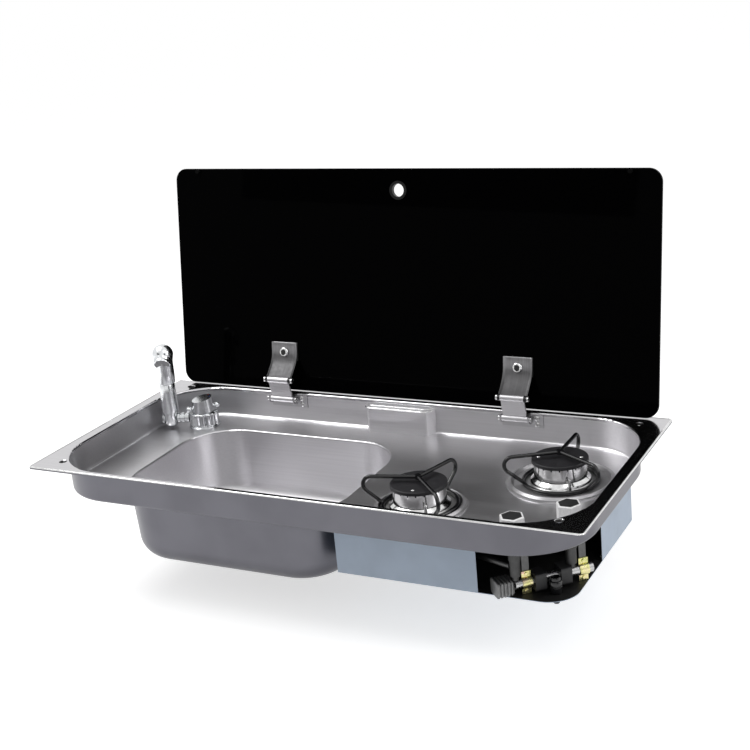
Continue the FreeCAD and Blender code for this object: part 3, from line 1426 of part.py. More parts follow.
def make_hinge_fasteners():
    """Pins, bolts, pads and screws of both hinges."""
    pivots, knuckles, bolts, pads, screws = [], [], [], [], []
    ear_end = S.arm_width / 2 + 4 * S.running_fit + S.ear_thick
    knuckle_end = S.leaf_width / 2 + S.running_fit
    leaf_low = LID_RISE - S.leaf_pad - S.leaf_thick
    bolt_y = -S.lid_overlap - S.bolt_place
    for side, x in HINGES.items():
        pivot = new_body("pivot_pin_" + side, x, PIVOT_Y, PIVOT_Z)
        pivots.append(headed_pin(pivot, 0, 0, S.pivot_pin, ear_end + S.running_fit))
        knuckle = lid_body("knuckle_pin_" + side, x)
        knuckles.append(headed_pin(knuckle, -S.knuckle_reach, -S.knuckle_drop, S.knuckle_pin, knuckle_end))
        bolt = lid_body("bolt_" + side, x)
        head = Drawing(bolt, "XY_Plane", leaf_low).circle(0, bolt_y, S.bolt_head)
        head = pad(head, S.bolt_head_height, reverse=True)
        soften(head, S.bolt_head_height / 4, level_at(leaf_low - S.bolt_head_height))
        shank = Drawing(bolt, "XY_Plane", leaf_low).circle(0, bolt_y, S.bolt_shank)
        pad(shank, LID_RISE + S.lid_thick + S.bolt_nut_height - leaf_low)
        socket = Drawing(bolt, "XY_Plane", leaf_low - S.bolt_head_height).circle(0, bolt_y, S.bolt_socket)
        pocket(socket, S.bolt_socket_depth, reverse=True)
        nut = lid_body("nut_" + side, x)
        ring = Drawing(nut, "XY_Plane", LID_RISE + S.lid_thick)
        ring.circle(0, bolt_y, S.bolt_nut)
        ring.circle(0, bolt_y, S.bolt_shank + 2 * S.running_fit)
        pad(ring, S.bolt_nut_height)
        bolts += [bolt, nut]
        near = -S.lid_overlap - S.leaf_start
        far = -S.lid_overlap - S.leaf_end
        half = S.leaf_width / 2
        cushion = lid_body("pad_" + side, x)
        sheet = Drawing(cushion, "XY_Plane", LID_RISE - S.leaf_pad).polygon([
            (-half, far), (half, far), (half, near), (-half, near)])
        sheet.circle(0, bolt_y, S.bolt_shank + S.loose_fit)
        pad(sheet, S.leaf_pad)
        pads.append(cushion)
    for number, (x, z) in enumerate(bracket_screw_places()):
        head_y = PAN_REAR - S.bracket_thick
        screws.append(screw("bracket_screw_%d" % number, x, head_y, z, Vector(1, 0, 0), -90))
    group("pivot_pins", pivots)
    group("knuckle_pins", knuckles)
    group("hinge_bolts", bolts)
    group("hinge_pads", pads)
    group("bracket_screws", screws)


def headed_pin(body, y, z, width, half_length):
    """A pin along X with a round head beyond each end of its seat."""
    pad(Drawing(body, "YZ_Plane").circle(y, z, width), 2 * half_length, both_ways=True)
    head = S.knuckle_head_width
    for start in (half_length, -half_length - head):
        pad(Drawing(body, "YZ_Plane", start).circle(y, z, S.knuckle_head), head)
    return body


def build():
    make_tray()
    make_rim_seal()
    make_sink_bowl()
    make_drain()
    for name, burner in BURNERS.items():
        make_burner(name, burner)
        make_gas_tap(name, burner)
    make_cap_rivets()
    make_flame_sensors()
    make_supply_pipes()
    make_casing()
    make_gas_rail()
    make_mixer()
    make_swivel_neck()
    make_spout()
    make_handle()
    make_lid()
    for side, x in HINGES.items():
        make_hinge(side, x)
    make_hinge_fasteners()
    doc.recompute()


def sub_parts():
    """The bodies and groups that are nodes: every body that no group holds, and the groups."""
    groups = [item for item in doc.Objects if item.TypeId == "Part::Compound"]
    held = {member.Name for item in groups for member in item.Links}
    bodies = [item for item in doc.Objects if item.TypeId == "PartDesign::Body" and item.Name not in held]
    return bodies + groups


def check_and_write():
    for item in doc.Objects:
        if "Invalid" in item.State or "Error" in item.State:
            raise RuntimeError("%s did not build: %s" % (item.Label, item.getStatusString()))
    nodes = sub_parts()
    for node in nodes:
        if node.Shape.isNull() or not node.Shape.isValid() or not node.Shape.Solids:
            raise RuntimeError(node.Label + " has no valid solid")
    os.makedirs("parts", exist_ok=True)
    for node in nodes:
        node.Shape.exportStep("parts/%s.step" % node.Label)
    print(len(nodes), "nodes written")


build()
check_and_write()
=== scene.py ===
import json
import math

import bmesh
import bpy
from mathutils import Matrix, Vector


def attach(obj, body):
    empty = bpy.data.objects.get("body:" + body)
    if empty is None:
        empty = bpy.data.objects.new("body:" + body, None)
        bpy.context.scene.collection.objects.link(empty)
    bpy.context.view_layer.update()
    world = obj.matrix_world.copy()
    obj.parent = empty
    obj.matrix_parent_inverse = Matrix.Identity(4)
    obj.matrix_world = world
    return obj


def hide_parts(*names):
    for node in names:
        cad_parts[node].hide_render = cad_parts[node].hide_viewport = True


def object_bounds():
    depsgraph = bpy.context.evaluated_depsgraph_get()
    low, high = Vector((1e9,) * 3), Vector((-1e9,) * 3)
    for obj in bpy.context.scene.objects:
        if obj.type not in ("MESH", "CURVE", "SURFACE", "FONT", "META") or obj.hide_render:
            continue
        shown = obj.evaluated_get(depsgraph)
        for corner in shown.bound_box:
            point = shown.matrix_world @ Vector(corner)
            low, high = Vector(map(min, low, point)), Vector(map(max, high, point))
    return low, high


# A drop-in sink and gas hob with a folding tap under a glass lid. Lengths are in metres.
MM = 0.001

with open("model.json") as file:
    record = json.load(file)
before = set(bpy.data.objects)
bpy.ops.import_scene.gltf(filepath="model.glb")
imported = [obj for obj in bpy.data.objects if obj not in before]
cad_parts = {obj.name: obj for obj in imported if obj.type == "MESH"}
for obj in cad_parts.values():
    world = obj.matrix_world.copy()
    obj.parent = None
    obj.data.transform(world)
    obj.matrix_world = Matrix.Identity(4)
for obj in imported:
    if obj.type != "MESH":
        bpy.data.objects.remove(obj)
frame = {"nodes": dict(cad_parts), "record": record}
CAD_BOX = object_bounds()
NODES = frame["nodes"]
BODY_OF = {node: body for body, nodes in frame["record"]["behaviour"]["bodies"].items() for node in nodes}
SLOT_OF = {entry["node"]: entry["material_slot"] for entry in frame["record"]["subparts"]}
BURNERS = ("front", "rear")


# Materials

# Corner screw dimples in the rim: places from the middle, and the radius of their painted shade
DIMPLE_X = 350 * MM
DIMPLE_Y = 154 * MM
DIMPLE_REACH = 5.4 * MM
# The rim is polished above this height
RIM_FINISH = -1.2 * MM
RIM_ROUGHNESS = 0.13
# Underside of the pressings: colours darkened as painted shade, and a dull roughness
UNDERSIDE_SHADE_DARK = (0.126, 0.125, 0.141)
UNDERSIDE_SHADE_LIGHT = (0.144, 0.143, 0.161)
UNDERSIDE_ROUGHNESS = 0.36
# Brushed steel: scale of the noise per metre, and how it is drawn out along X
BRUSH = (420.0, (0.015, 1.0, 1.0))
SATIN = (60.0, (0.06, 1.0, 1.0))
BRUSH_SPREAD = (0.0, 1.0, 1.0)
BRUSHED_DEPTH = 0.01 * MM
PRESSED_DEPTH = 0.005 * MM
# A face is outside where it looks away from the line in a pressing and its plane is this far from that line
OUTSIDE_MARGIN = 8 * MM
# Colour sockets of a mix node
MIX_FIRST, MIX_SECOND, MIX_RESULT = 6, 7, 2


def shade(value, warm=0.0):
    """A grey, a little warmer or cooler."""
    return value * (1 + warm), value, value * (1 - warm)


def steel(level):
    """Stainless steel's faintly violet grey."""
    return level, level * 0.988, level * 1.014


class Look:
    """A procedural material: one Principled shader whose colour, roughness and relief come from noise."""

    def __init__(self, name, color, roughness, metallic=0.0, **constants):
        self.material = bpy.data.materials.new(name)
        self.material.use_nodes = True
        self.tree = self.material.node_tree
        self.shader = self.tree.nodes["Principled BSDF"]
        self.set("Base Color", (*color, 1.0))
        self.set("Roughness", roughness)
        self.set("Metallic", metallic)
        for socket, value in constants.items():
            self.set(socket.replace("_", " "), value)
        self.texture = self.add("ShaderNodeTexCoord")
        self.place = self.texture.outputs["Object"]

    def set(self, socket, value):
        self.shader.inputs[socket].default_value = value

    def add(self, kind, **settings):
        node = self.tree.nodes.new(kind)
        for name, value in settings.items():
            setattr(node, name, value)
        return node

    def link(self, output, node, socket):
        self.tree.links.new(output, node.inputs[socket])

    def noise(self, scale, stretch=(1, 1, 1), detail=3.0):
        """Grey noise of a given scale per metre, drawn out along an axis where stretch is small."""
        mapping = self.add("ShaderNodeMapping")
        mapping.inputs["Scale"].default_value = stretch
        self.link(self.place, mapping, "Vector")
        texture = self.add("ShaderNodeTexNoise")
        texture.inputs["Scale"].default_value = scale
        texture.inputs["Detail"].default_value = detail
        self.link(mapping.outputs["Vector"], texture, "Vector")
        return texture.outputs["Fac"]

    def ramp(self, source, stops):
        """Colour from a source, through (position, colour) stops."""
        node = self.add("ShaderNodeValToRGB")
        elements = node.color_ramp.elements
        while len(elements) < len(stops):
            elements.new(0.5)
        for element, (position, color) in zip(elements, stops):
            element.position = position
            element.color = (*color, 1.0)
        self.link(source, node, "Fac")
        return node.outputs["Color"]

    def tint(self, source, dark, light, low=0.35, high=0.65):
        """Base colour between two colours."""
        self.link(self.ramp(source, [(low, dark), (high, light)]), self.shader, "Base Color")
        return self

    def gloss(self, source, smooth, rough, low=0.3, high=0.7):
        """Roughness between two values."""
        node = self.add("ShaderNodeMapRange")
        for name, value in (("From Min", low), ("From Max", high), ("To Min", smooth), ("To Max", rough)):
            node.inputs[name].default_value = value
        self.link(source, node, "Value")
        self.link(node.outputs["Result"], self.shader, "Roughness")
        return self

    def relief(self, source, height, strength=1.0):
        """Fine relief of a given height."""
        node = self.add("ShaderNodeBump")
        node.inputs["Strength"].default_value = strength
        node.inputs["Distance"].default_value = height
        self.link(source, node, "Height")
        self.link(node.outputs["Normal"], self.shader, "Normal")
        return self

    def feed(self, socket, value):
        """A plain number or another node's output on a socket."""
        if isinstance(value, (int, float)):
            socket.default_value = value
        else:
            self.tree.links.new(value, socket)

    def number(self, operation, *values):
        """The result of a sum on node outputs and plain numbers."""
        node = self.add("ShaderNodeMath", operation=operation)
        for socket, value in zip(node.inputs, values):
            self.feed(socket, value)
        return node.outputs[0]

    def axes(self, source):
        """The three parts of a vector."""
        node = self.add("ShaderNodeSeparateXYZ")
        self.link(source, node, "Vector")
        return [node.outputs[axis] for axis in "XYZ"]

    def outside(self, left, right, middle, height):
        """1 on faces that look away from a line along X in a pan or bowl, 0 on those that face it."""
        x, y, z = self.axes(self.place)
        from_line = (
            self.number("SUBTRACT", x, self.number("MINIMUM", self.number("MAXIMUM", x, left), right)),
            self.number("SUBTRACT", y, middle), self.number("SUBTRACT", z, height))
        normal = self.axes(self.texture.outputs["Normal"])
        facing = [self.number("MULTIPLY", *pair) for pair in zip(from_line, normal)]
        total = self.number("ADD", self.number("ADD", *facing[:2]), facing[2])
        return self.number("GREATER_THAN", total, OUTSIDE_MARGIN)

    def mix(self, factor, first, second, blend="MIX"):
        """Colour blended from two outputs."""
        node = self.add("ShaderNodeMix", data_type="RGBA", blend_type=blend)
        for socket, value in (("Factor", factor), (MIX_FIRST, first), (MIX_SECOND, second)):
            self.feed(node.inputs[socket], value)
        return node.outputs[MIX_RESULT]

    def shadow_dimples(self, color):
        """Painted shade: a colour that goes dark in the dimples of the rim's corner screws."""
        x, y = self.axes(self.place)[:2]
        across = [self.number("SUBTRACT", self.number("ABSOLUTE", value), place)
                  for value, place in ((x, DIMPLE_X), (y, DIMPLE_Y))]
        squares = self.number("ADD", *[self.number("MULTIPLY", value, value) for value in across])
        share = self.number("MULTIPLY", squares, 1 / DIMPLE_REACH ** 2)
        dark = self.ramp(share, [(0.0, shade(0.01)), (0.9, shade(0.05))])
        return self.mix(self.number("LESS_THAN", squares, DIMPLE_REACH ** 2), color, dark)

    def grain(self, direction, amount):
        """Brushed reflections that spread along a direction."""
        node = self.add("ShaderNodeCombineXYZ")
        for axis, value in zip("XYZ", direction):
            node.inputs[axis].default_value = value
        self.link(node.outputs["Vector"], self.shader, "Tangent")
        self.set("Anisotropic", amount)
        return self


def brushed_steel(name, level, smooth, rough, amount=0.6):
    """Sheet with fine streaks along X."""
    look = Look(name, shade(level), rough, 1.0)
    streaks = look.noise(*BRUSH)
    look.tint(streaks, steel(level * 0.95), steel(level * 1.04))
    look.gloss(look.noise(*SATIN), smooth, rough)
    look.relief(streaks, BRUSHED_DEPTH)
    return look.grain(BRUSH_SPREAD, amount).material


def pressed_steel(name, line, level, rough, spread):
    """Brushed inside; dull outside, darkened by painted shade; a polished rim above the worktop."""
    look = Look(name, shade(level), rough, 1.0)
    streaks = look.noise(*BRUSH)
    outside = look.outside(*line)
    inner = look.ramp(streaks, [(0.35, steel(level * 0.97)), (0.65, steel(level * 1.02))])
    # Painted shade: the outside is coloured far darker than the inside
    outer = look.ramp(look.noise(14.0), [(0.35, UNDERSIDE_SHADE_DARK), (0.65, UNDERSIDE_SHADE_LIGHT)])
    look.link(look.shadow_dimples(look.mix(outside, inner, outer)), look.shader, "Base Color")
    rim = look.number("GREATER_THAN", look.axes(look.place)[2], RIM_FINISH)
    satin = look.number("MULTIPLY_ADD", look.noise(*SATIN), 0.1, rough - 0.05)
    inside = look.number("MULTIPLY_ADD", rim, look.number("SUBTRACT", RIM_ROUGHNESS, satin), satin)
    dull = look.number("MULTIPLY", outside, UNDERSIDE_ROUGHNESS)
    look.link(look.number("MAXIMUM", inside, dull), look.shader, "Roughness")
    look.relief(streaks, PRESSED_DEPTH)
    return look.grain(BRUSH_SPREAD, spread).material


def sheet_box(name, line, color):
    """Blue-grey sheet, with painted shade inside: its inside faces are near black."""
    look = Look(name, color, 0.5, Specular_IOR_Level=0.4)
    cloud = look.noise(25.0)
    skin = look.ramp(cloud, [(0.35, [c * 0.96 for c in color]), (0.65, [c * 1.04 for c in color])])
    # Painted shade: the faces inside the casing are drawn near black
    inside_shade = look.ramp(look.noise(90.0), [(0.35, shade(0.006)), (0.65, shade(0.012))])
    look.link(look.mix(look.outside(*line), inside_shade, skin), look.shader, "Base Color")
    return look.gloss(look.noise(120.0), 0.42, 0.55).material


def plain_metal(name, level, smooth, rough, warm=0.0, scale=160.0):
    """Metal or plating with a faint cloud in its colour and gloss."""
    look = Look(name, shade(level, warm), rough, 1.0)
    cloud = look.noise(scale)
    look.tint(cloud, shade(level * 0.9, warm), shade(level * 1.06, warm))
    return look.gloss(look.noise(scale * 3), smooth, rough).material


def leaf_steel(name, level):
    """Steel that darkens towards the knuckle, as painted shade."""
    look = Look(name, shade(level), 0.3, 1.0)
    height = look.number("MULTIPLY", look.axes(look.place)[2], 10.0)
    # Painted shade: darker from the leaf's top down to the knuckle
    knuckle_shade = look.ramp(height, [(0.28, steel(level * 0.15)), (0.42, steel(level * 0.22)),
                               (0.52, steel(level * 0.5)), (0.64, steel(level))])
    streaks = look.ramp(look.noise(700.0, (1.0, 0.03, 0.03)), [(0.3, shade(0.75)), (0.7, shade(1.0))])
    look.link(look.mix(1.0, knuckle_shade, streaks, "MULTIPLY"), look.shader, "Base Color")
    return look.gloss(look.noise(200.0), 0.3, 0.4).material


def satin_plate(name, level):
    """Satin plating on plastic: half metal, half milky."""
    look = Look(name, shade(level), 0.4, 0.1)
    look.tint(look.noise(500.0), shade(level * 0.93), shade(level * 1.05))
    return look.gloss(look.noise(900.0), 0.32, 0.46).material


def passivated_zinc(name):
    """Yellow zinc plate whose film turns green and rosy in patches."""
    look = Look(name, (0.6, 0.52, 0.2), 0.3, 1.0)
    film = [(0.3, (0.42, 0.46, 0.16)), (0.45, (0.72, 0.68, 0.3)),
            (0.58, (0.78, 0.7, 0.4)), (0.72, (0.55, 0.28, 0.3))]
    look.link(look.ramp(look.noise(130.0), film), look.shader, "Base Color")
    return look.gloss(look.noise(300.0), 0.2, 0.36).material


def coated(name, color, smooth, rough, grain=0.0, scale=400.0, specular=0.5):
    """Paint, enamel, plastic or rubber, with a fine skin."""
    look = Look(name, color, rough, Specular_IOR_Level=specular)
    skin = look.noise(scale)
    look.tint(skin, [c * 0.85 for c in color], [min(1.0, c * 1.15) for c in color])
    look.gloss(look.noise(scale / 4), smooth, rough)
    if grain:
        look.relief(skin, grain)
    return look.material


LOOKS = {
    "brushed_steel": brushed_steel("steel_brushed", 0.42, 0.32, 0.44),
    "polished_steel": plain_metal("steel_polished", 0.74, 0.08, 0.16),
    "chrome": plain_metal("chrome_plate", 0.62, 0.08, 0.15, -0.02),
    "black_enamel": coated("enamel_black", (0.006, 0.006, 0.007), 0.14, 0.24, 0.00003, specular=0.5),
    "black_glass": coated("glass_black", (0.0006, 0.0006, 0.0007), 0.02, 0.04, specular=0.008),
    "black_rubber": coated("rubber_black", (0.02, 0.02, 0.02), 0.7, 0.9, 0.0001),
    "black_plastic": coated("plastic_black", (0.014, 0.014, 0.015), 0.35, 0.5, 0.00003),
    "grey_plastic": coated("plastic_grey", (0.3, 0.3, 0.31), 0.45, 0.6, 0.00003),
    "blue_grey_sheet": coated("sheet_blue_grey", (0.47, 0.54, 0.64), 0.4, 0.55, scale=60.0),
    "zinc_steel": plain_metal("zinc_bright", 0.5, 0.2, 0.34),
    "yellow_zinc": passivated_zinc("zinc_yellow"),
    "grey_casting": plain_metal("casting_grey", 0.2, 0.45, 0.6),
    "aluminium": plain_metal("aluminium_satin", 0.66, 0.3, 0.45),
    "brass": plain_metal("brass_satin", 0.6, 0.25, 0.4, 0.3),
    "satin_knob": satin_plate("knob_satin", 0.9),
}

LEAF_STEEL = leaf_steel("steel_leaf", 0.26)
PILLAR_CHROME = plain_metal("chrome_pillar", 0.78, 0.18, 0.26, -0.02)
SATIN_CHROME = plain_metal("chrome_satin", 0.7, 0.16, 0.24, -0.02)
ARM_STEEL = brushed_steel("steel_arm", 0.5, 0.3, 0.4, 0.3)
# Painted shade for the hex sockets in the bolt heads: near black
SOCKET_SHADE = coated("socket_shade", (0.004, 0.004, 0.004), 0.5, 0.7)
CAP_ENAMEL = coated("enamel_cap", (0.018, 0.0175, 0.0195), 0.36, 0.5, 0.00004, specular=0.3)
TAP_CASTING = plain_metal("casting_tap", 0.08, 0.5, 0.6)
CASING_BLUE = (0.45, 0.53, 0.64)
# Lines inside the pressings and the casing: left and right end, middle in depth, and height
PAN_LINE = (-0.28, 0.28, -0.005, 0.2)
BOWL_LINE = (-0.22, -0.04, -0.0135, 0.05)
CASING_LINE = (0.09, 0.3, -0.003, -0.06)
BASE_LINE = (0.09, 0.3, -0.003, 0.0)
SPECIAL = {
    "tray": pressed_steel("steel_tray", PAN_LINE, 0.59, 0.33, 0.25),
    "sink_bowl": pressed_steel("steel_bowl", BOWL_LINE, 0.7, 0.34, 0.3),
    "burner_casing": sheet_box("sheet_casing", CASING_LINE, CASING_BLUE),
    "base_plate": sheet_box("sheet_base", BASE_LINE, CASING_BLUE),
    "mixer_handle": SATIN_CHROME,
    "rail_hangers": plain_metal("steel_hanger", 0.12, 0.4, 0.5),
    "supply_pipes": plain_metal("pipe_dull", 0.1, 0.35, 0.5),
    "lid_buffers": coated("rubber_buffer", (0.0012, 0.0012, 0.0012), 0.7, 0.9, 0.0001, specular=0.05),
    "lid_grommet": coated("grommet_black", (0.003, 0.003, 0.003), 0.3, 0.45, 0.00003, specular=0.25),
}
for side in ("left", "right"):
    for link in ("arm", "bracket"):
        SPECIAL[f"hinge_{link}_{side}"] = ARM_STEEL
for burner in BURNERS:
    SPECIAL[f"{burner}_burner_cap"] = CAP_ENAMEL
    SPECIAL[f"{burner}_gas_tap"] = TAP_CASTING

for node, part in NODES.items():
    part.data.materials.clear()
    part.data.materials.append(SPECIAL.get(node, LOOKS[SLOT_OF[node]]))


# Mesh pieces


def loft(bm, rings, capped=True):
    """Skin over closed rings of points."""
    rows = [[bm.verts.new(point) for point in ring] for ring in rings]
    count = len(rows[0])
    for low, high in zip(rows, rows[1:]):
        for i in range(count):
            bm.faces.new((low[i], low[(i + 1) % count], high[(i + 1) % count], high[i]))
    if capped:
        bm.faces.new(rows[0][::-1])
        bm.faces.new(rows[-1])


def oval(width, depth, height, sides=48):
    """Points round an oval."""
    turns = [2 * math.pi * i / sides for i in range(sides)]
    return [Vector((width * math.cos(turn), depth * math.sin(turn), height)) for turn in turns]


def turned(bm, profile, place, sides=48):
    """Skin turned about the local Z axis, from (radius, height) pairs in millimetres."""
    rings = [oval(radius, radius, height, sides) for radius, height in profile]
    loft(bm, [[place @ (point * MM) for point in ring] for ring in rings])


def axes_at(origin, along, across):
    """A frame with its Z along one direction and its X near another."""
    z = Vector(along).normalized()
    y = z.cross(Vector(across)).normalized()
    matrix = Matrix((y.cross(z), y, z)).transposed().to_4x4()
    matrix.translation = Vector(origin) * MM
    return matrix


def slab(bm, front, back):
    """A sheet between two grids of points."""
    rows = [[[bm.verts.new(point) for point in row] for row in side] for side in (front, back)]
    tall, wide = len(front), len(front[0])
    for grid, order in zip(rows, (1, -1)):
        for i in range(tall - 1):
            for j in range(wide - 1):
                corners = (grid[i][j], grid[i][j + 1], grid[i + 1][j + 1], grid[i + 1][j])
                bm.faces.new(corners[::order])
    border = [(0, j) for j in range(wide)] + [(i, wide - 1) for i in range(1, tall)]
    border += [(tall - 1, j) for j in range(wide - 2, -1, -1)] + [(i, 0) for i in range(tall - 2, 0, -1)]
    for (a, b), (c, d) in zip(border, border[1:] + border[:1]):
        bm.faces.new((rows[0][a][b], rows[1][a][b], rows[1][c][d], rows[0][c][d]))


def tube(bm, points, radius, sides=12):
    """A round bar through points in millimetres, with rounded ends."""
    rings = []
    for i, point in enumerate(points):
        run = (points[min(i + 1, len(points) - 1)] - points[max(i - 1, 0)]).normalized()
        place = axes_at(point, run, (0, 0, 1) if abs(run.z) < 0.9 else (1, 0, 0))
        size = radius * (0.5 if i in (0, len(points) - 1) else 1.0)
        rings.append([place @ (corner * MM) for corner in oval(size, size, 0, sides)])
    loft(bm, rings)


def round_box(width, depth, corner, steps=5):
    """Points round a rectangle with round corners, about its middle."""
    points = []
    for quarter, (x, y) in enumerate(((1, 1), (-1, 1), (-1, -1), (1, -1))):
        for step in range(steps + 1):
            turn = math.pi / 2 * (quarter + step / steps)
            points.append((x * (width / 2 - corner) + corner * math.cos(turn),
                           y * (depth / 2 - corner) + corner * math.sin(turn)))
    return points


def piece(name, bm, materials, node, replaced=(), sharp=40.0):
    """A named mesh on the body of a CAD node, which takes the place of the nodes listed."""
    bmesh.ops.recalc_face_normals(bm, faces=bm.faces)
    mesh = bpy.data.meshes.new(name)
    bm.to_mesh(mesh)
    bm.free()
    mesh.shade_smooth()
    mesh.set_sharp_from_angle(angle=math.radians(sharp))
    for material in materials:
        mesh.materials.append(material)
    part = bpy.data.objects.new(name, mesh)
    bpy.context.scene.collection.objects.link(part)
    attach(part, BODY_OF[node])
    if replaced:
        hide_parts(*replaced)
    return part


# Hinges, in millimetres in the plane across the hinge axis
LID_LEAN = math.radians(8.5)
UP_GLASS = Vector((0.0, math.sin(LID_LEAN), math.cos(LID_LEAN)))
OFF_GLASS = Vector((0.0, -math.cos(LID_LEAN), math.sin(LID_LEAN)))
KNUCKLE = Vector((0.0, 150.54, 26.15))
LEAF_BEND = Vector((0.0, 175.16, 48.75))
LEAF_TOP = Vector((0.0, 179.15, 75.45))
# The bend begins and ends this far from its corner, after two points near the knuckle
BEND_BEFORE = 17.0
BEND_AFTER = 13.0
BEND_STEPS = 12
LEAF_ROOT = (4.2, 9.0)
LEAF_TIP = (8.0, 1.2, 0.5, 0.0)
# Half widths at which a leaf's surface is drawn: flat in the middle, rolled up in a lip at the side
LEAF_FLAT = (-9.0, 0.0, 9.0)
LEAF_SIDE = (17.0, 18.2, 19.0, 19.8, 20.5, 20.85, 21.0)
LIP_START = 17.6
LIP_WIDTH = 3.4
LIP_RISE = 1.5
# The sheet's edge is round from this half width on, and never thinner than the root of this share
EDGE_START = 20.0
EDGE_SHARE = 0.06
# Half thickness at the leaf's top end, and how fast it grows to 1 mm below it
TIP_HALF = 0.35
TIP_GROWTH = 0.6
# (radius, height) of the curl round each end of the knuckle pin
CURL_START = 17.3
CURL = [(3.0, 0), (4.1, 0), (4.5, 0.4), (4.5, 3.3), (4.1, 3.7), (3.0, 3.7)]
# Bolt through leaf and glass: depth and height of its seat, (radius, height) of head, socket and nut,
# and how far behind the seat the nut is
BOLT_SEAT = (176.0, 61.26)
BOLT_HEAD = [(6.9, 0), (7.3, 0.4), (7.3, 1.6), (7.0, 2.6), (6.3, 3.4), (5.3, 3.9), (4.5, 4.0), (4.1, 3.8)]
BOLT_SOCKET = [(3.9, 3.86), (3.6, 3.7), (3.5, 1.6), (0.5, 1.4)]
BOLT_NUT = [(8.4, -3.0), (9.0, -2.4), (9.0, 0.0), (8.4, 0.3)]
NUT_BACK = 9.0
BOLT_SIDES = 48
HINGE_X = {"left": -190.0, "right": 177.0}


def leaf_line():
    """Points up the middle of a leaf: off the knuckle, a wide bend, then flat on the glass."""
    slope = (LEAF_BEND - KNUCKLE).normalized()
    first = LEAF_BEND - slope * BEND_BEFORE
    last = LEAF_BEND + UP_GLASS * BEND_AFTER
    points = [KNUCKLE + slope * out for out in LEAF_ROOT]
    for i in range(BEND_STEPS + 1):
        t = i / BEND_STEPS
        points.append(first * (1 - t) ** 2 + LEAF_BEND * 2 * t * (1 - t) + last * t ** 2)
    return points + [LEAF_TOP - UP_GLASS * back for back in LEAF_TIP]


def make_leaf(side):
    """A bent leaf with lips rolled up along both sides and a curl round each end of the knuckle pin."""
    bm = bmesh.new()
    line = leaf_line()
    columns = [-value for value in LEAF_SIDE[::-1]] + [*LEAF_FLAT, *LEAF_SIDE]
    front, back = [], []
    for i, point in enumerate(line):
        run = line[min(i + 1, len(line) - 1)] - line[max(i - 1, 0)]
        facing = Vector((0.0, -run.z, run.y)).normalized()
        end = min(1.0, TIP_HALF + (LEAF_TOP - point).length * TIP_GROWTH)
        rows = [], []
        for x in columns:
            lip = max(0.0, (abs(x) - LIP_START) / LIP_WIDTH)
            rise = LIP_RISE * lip ** 2
            half = end * math.sqrt(max(EDGE_SHARE, 1 - max(0.0, abs(x) - EDGE_START) ** 2))
            middle = point + Vector((HINGE_X[side] + x, 0, 0)) + facing * rise
            rows[0].append((middle + facing * half) * MM)
            rows[1].append((middle - facing * half) * MM)
        front.append(rows[0])
        back.append(rows[1])
    slab(bm, front, back)
    for way in (-1, 1):
        start = KNUCKLE + Vector((HINGE_X[side] + way * CURL_START, 0, 0))
        turned(bm, CURL, axes_at(start, (way, 0, 0), (0, 0, 1)), 24)
    node = f"hinge_leaf_{side}"
    piece(f"leaf_{side}", bm, [LEAF_STEEL], node, [node])


def make_bolts():
    """Button-head socket bolts on the leaves, and their round nuts behind the glass."""
    bm = bmesh.new()
    dark = []
    for x in HINGE_X.values():
        place = axes_at((x, *BOLT_SEAT), OFF_GLASS, (1, 0, 0))
        turned(bm, BOLT_HEAD, place)
        before = len(bm.faces)
        rings = []
        for reach, height in BOLT_SOCKET:
            ring = []
            for i in range(BOLT_SIDES):
                turn = 2 * math.pi * i / BOLT_SIDES
                flat = math.cos((turn + math.pi / 6) % (math.pi / 3) - math.pi / 6)
                ring.append(place @ (Vector((math.cos(turn), math.sin(turn), 0)) * reach / flat * MM
                                     + Vector((0, 0, height * MM))))
            rings.append(ring)
        loft(bm, rings)
        bm.faces.ensure_lookup_table()
        dark += bm.faces[before:]
        turned(bm, BOLT_NUT, place @ Matrix.Translation(Vector((0, 0, -NUT_BACK)) * MM))
    # Painted shade: the sockets' faces take the near-black material
    for face in dark:
        face.material_index = 1
    piece("lid_bolts", bm, [LOOKS["polished_steel"], SOCKET_SHADE], "hinge_bolts", ["hinge_bolts"])


# Tap: its forward direction points over the bowl, square to the fold axis
TAP = Vector((-348.0, 92.0, -25.4))
TAP_TURN = math.radians(24)
TAP_SIDE = Vector((math.cos(TAP_TURN), math.sin(TAP_TURN), 0.0))
TAP_FORWARD = Vector((math.sin(TAP_TURN), -math.cos(TAP_TURN), 0.0))
NOZZLE_LEAN = math.radians(40)
# The foot is a disc about the fold axis with flat sides, and the head a ball drawn in steps of an angle
FOOT_RADIUS = 13.0
FOOT_HALF = 10.0
FOOT_HEIGHTS = (-12.9, -12.4, -11.4, -9.6, -7.0, -3.5, 0.0)
HEAD_HEIGHT = 100.0
HEAD_RADIUS = 15.5
HEAD_STEPS = 18
HEAD_ANGLE = 5
# Half width, half depth and height of the pillar's sections above its round foot
PILLAR = [
    (10.0, 12.9, 8.6), (10.3, 12.7, 9.6), (11.4, 12.5, 10.6), (12.3, 12.4, 12.4), (12.4, 12.4, 15.0),
    (11.4, 11.8, 40.0), (11.3, 11.7, 54.4), (11.0, 11.4, 55.0), (10.7, 11.1, 55.3), (10.7, 11.1, 56.4),
    (12.7, 12.7, 56.7), (13.1, 13.1, 57.4), (13.25, 13.25, 72.0), (13.3, 13.3, 88.0), (13.6, 13.6, 91.0),
    (14.3, 14.3, 94.0)]
NOZZLE_SOCKET = [
    (12.5, 2.0), (12.5, 13.2), (12.1, 13.7), (12.1, 14.4), (12.5, 14.9), (12.5, 17.4), (12.1, 18.2),
    (11.4, 18.5), (10.7, 18.2), (10.3, 17.4), (10.3, 14.0)]


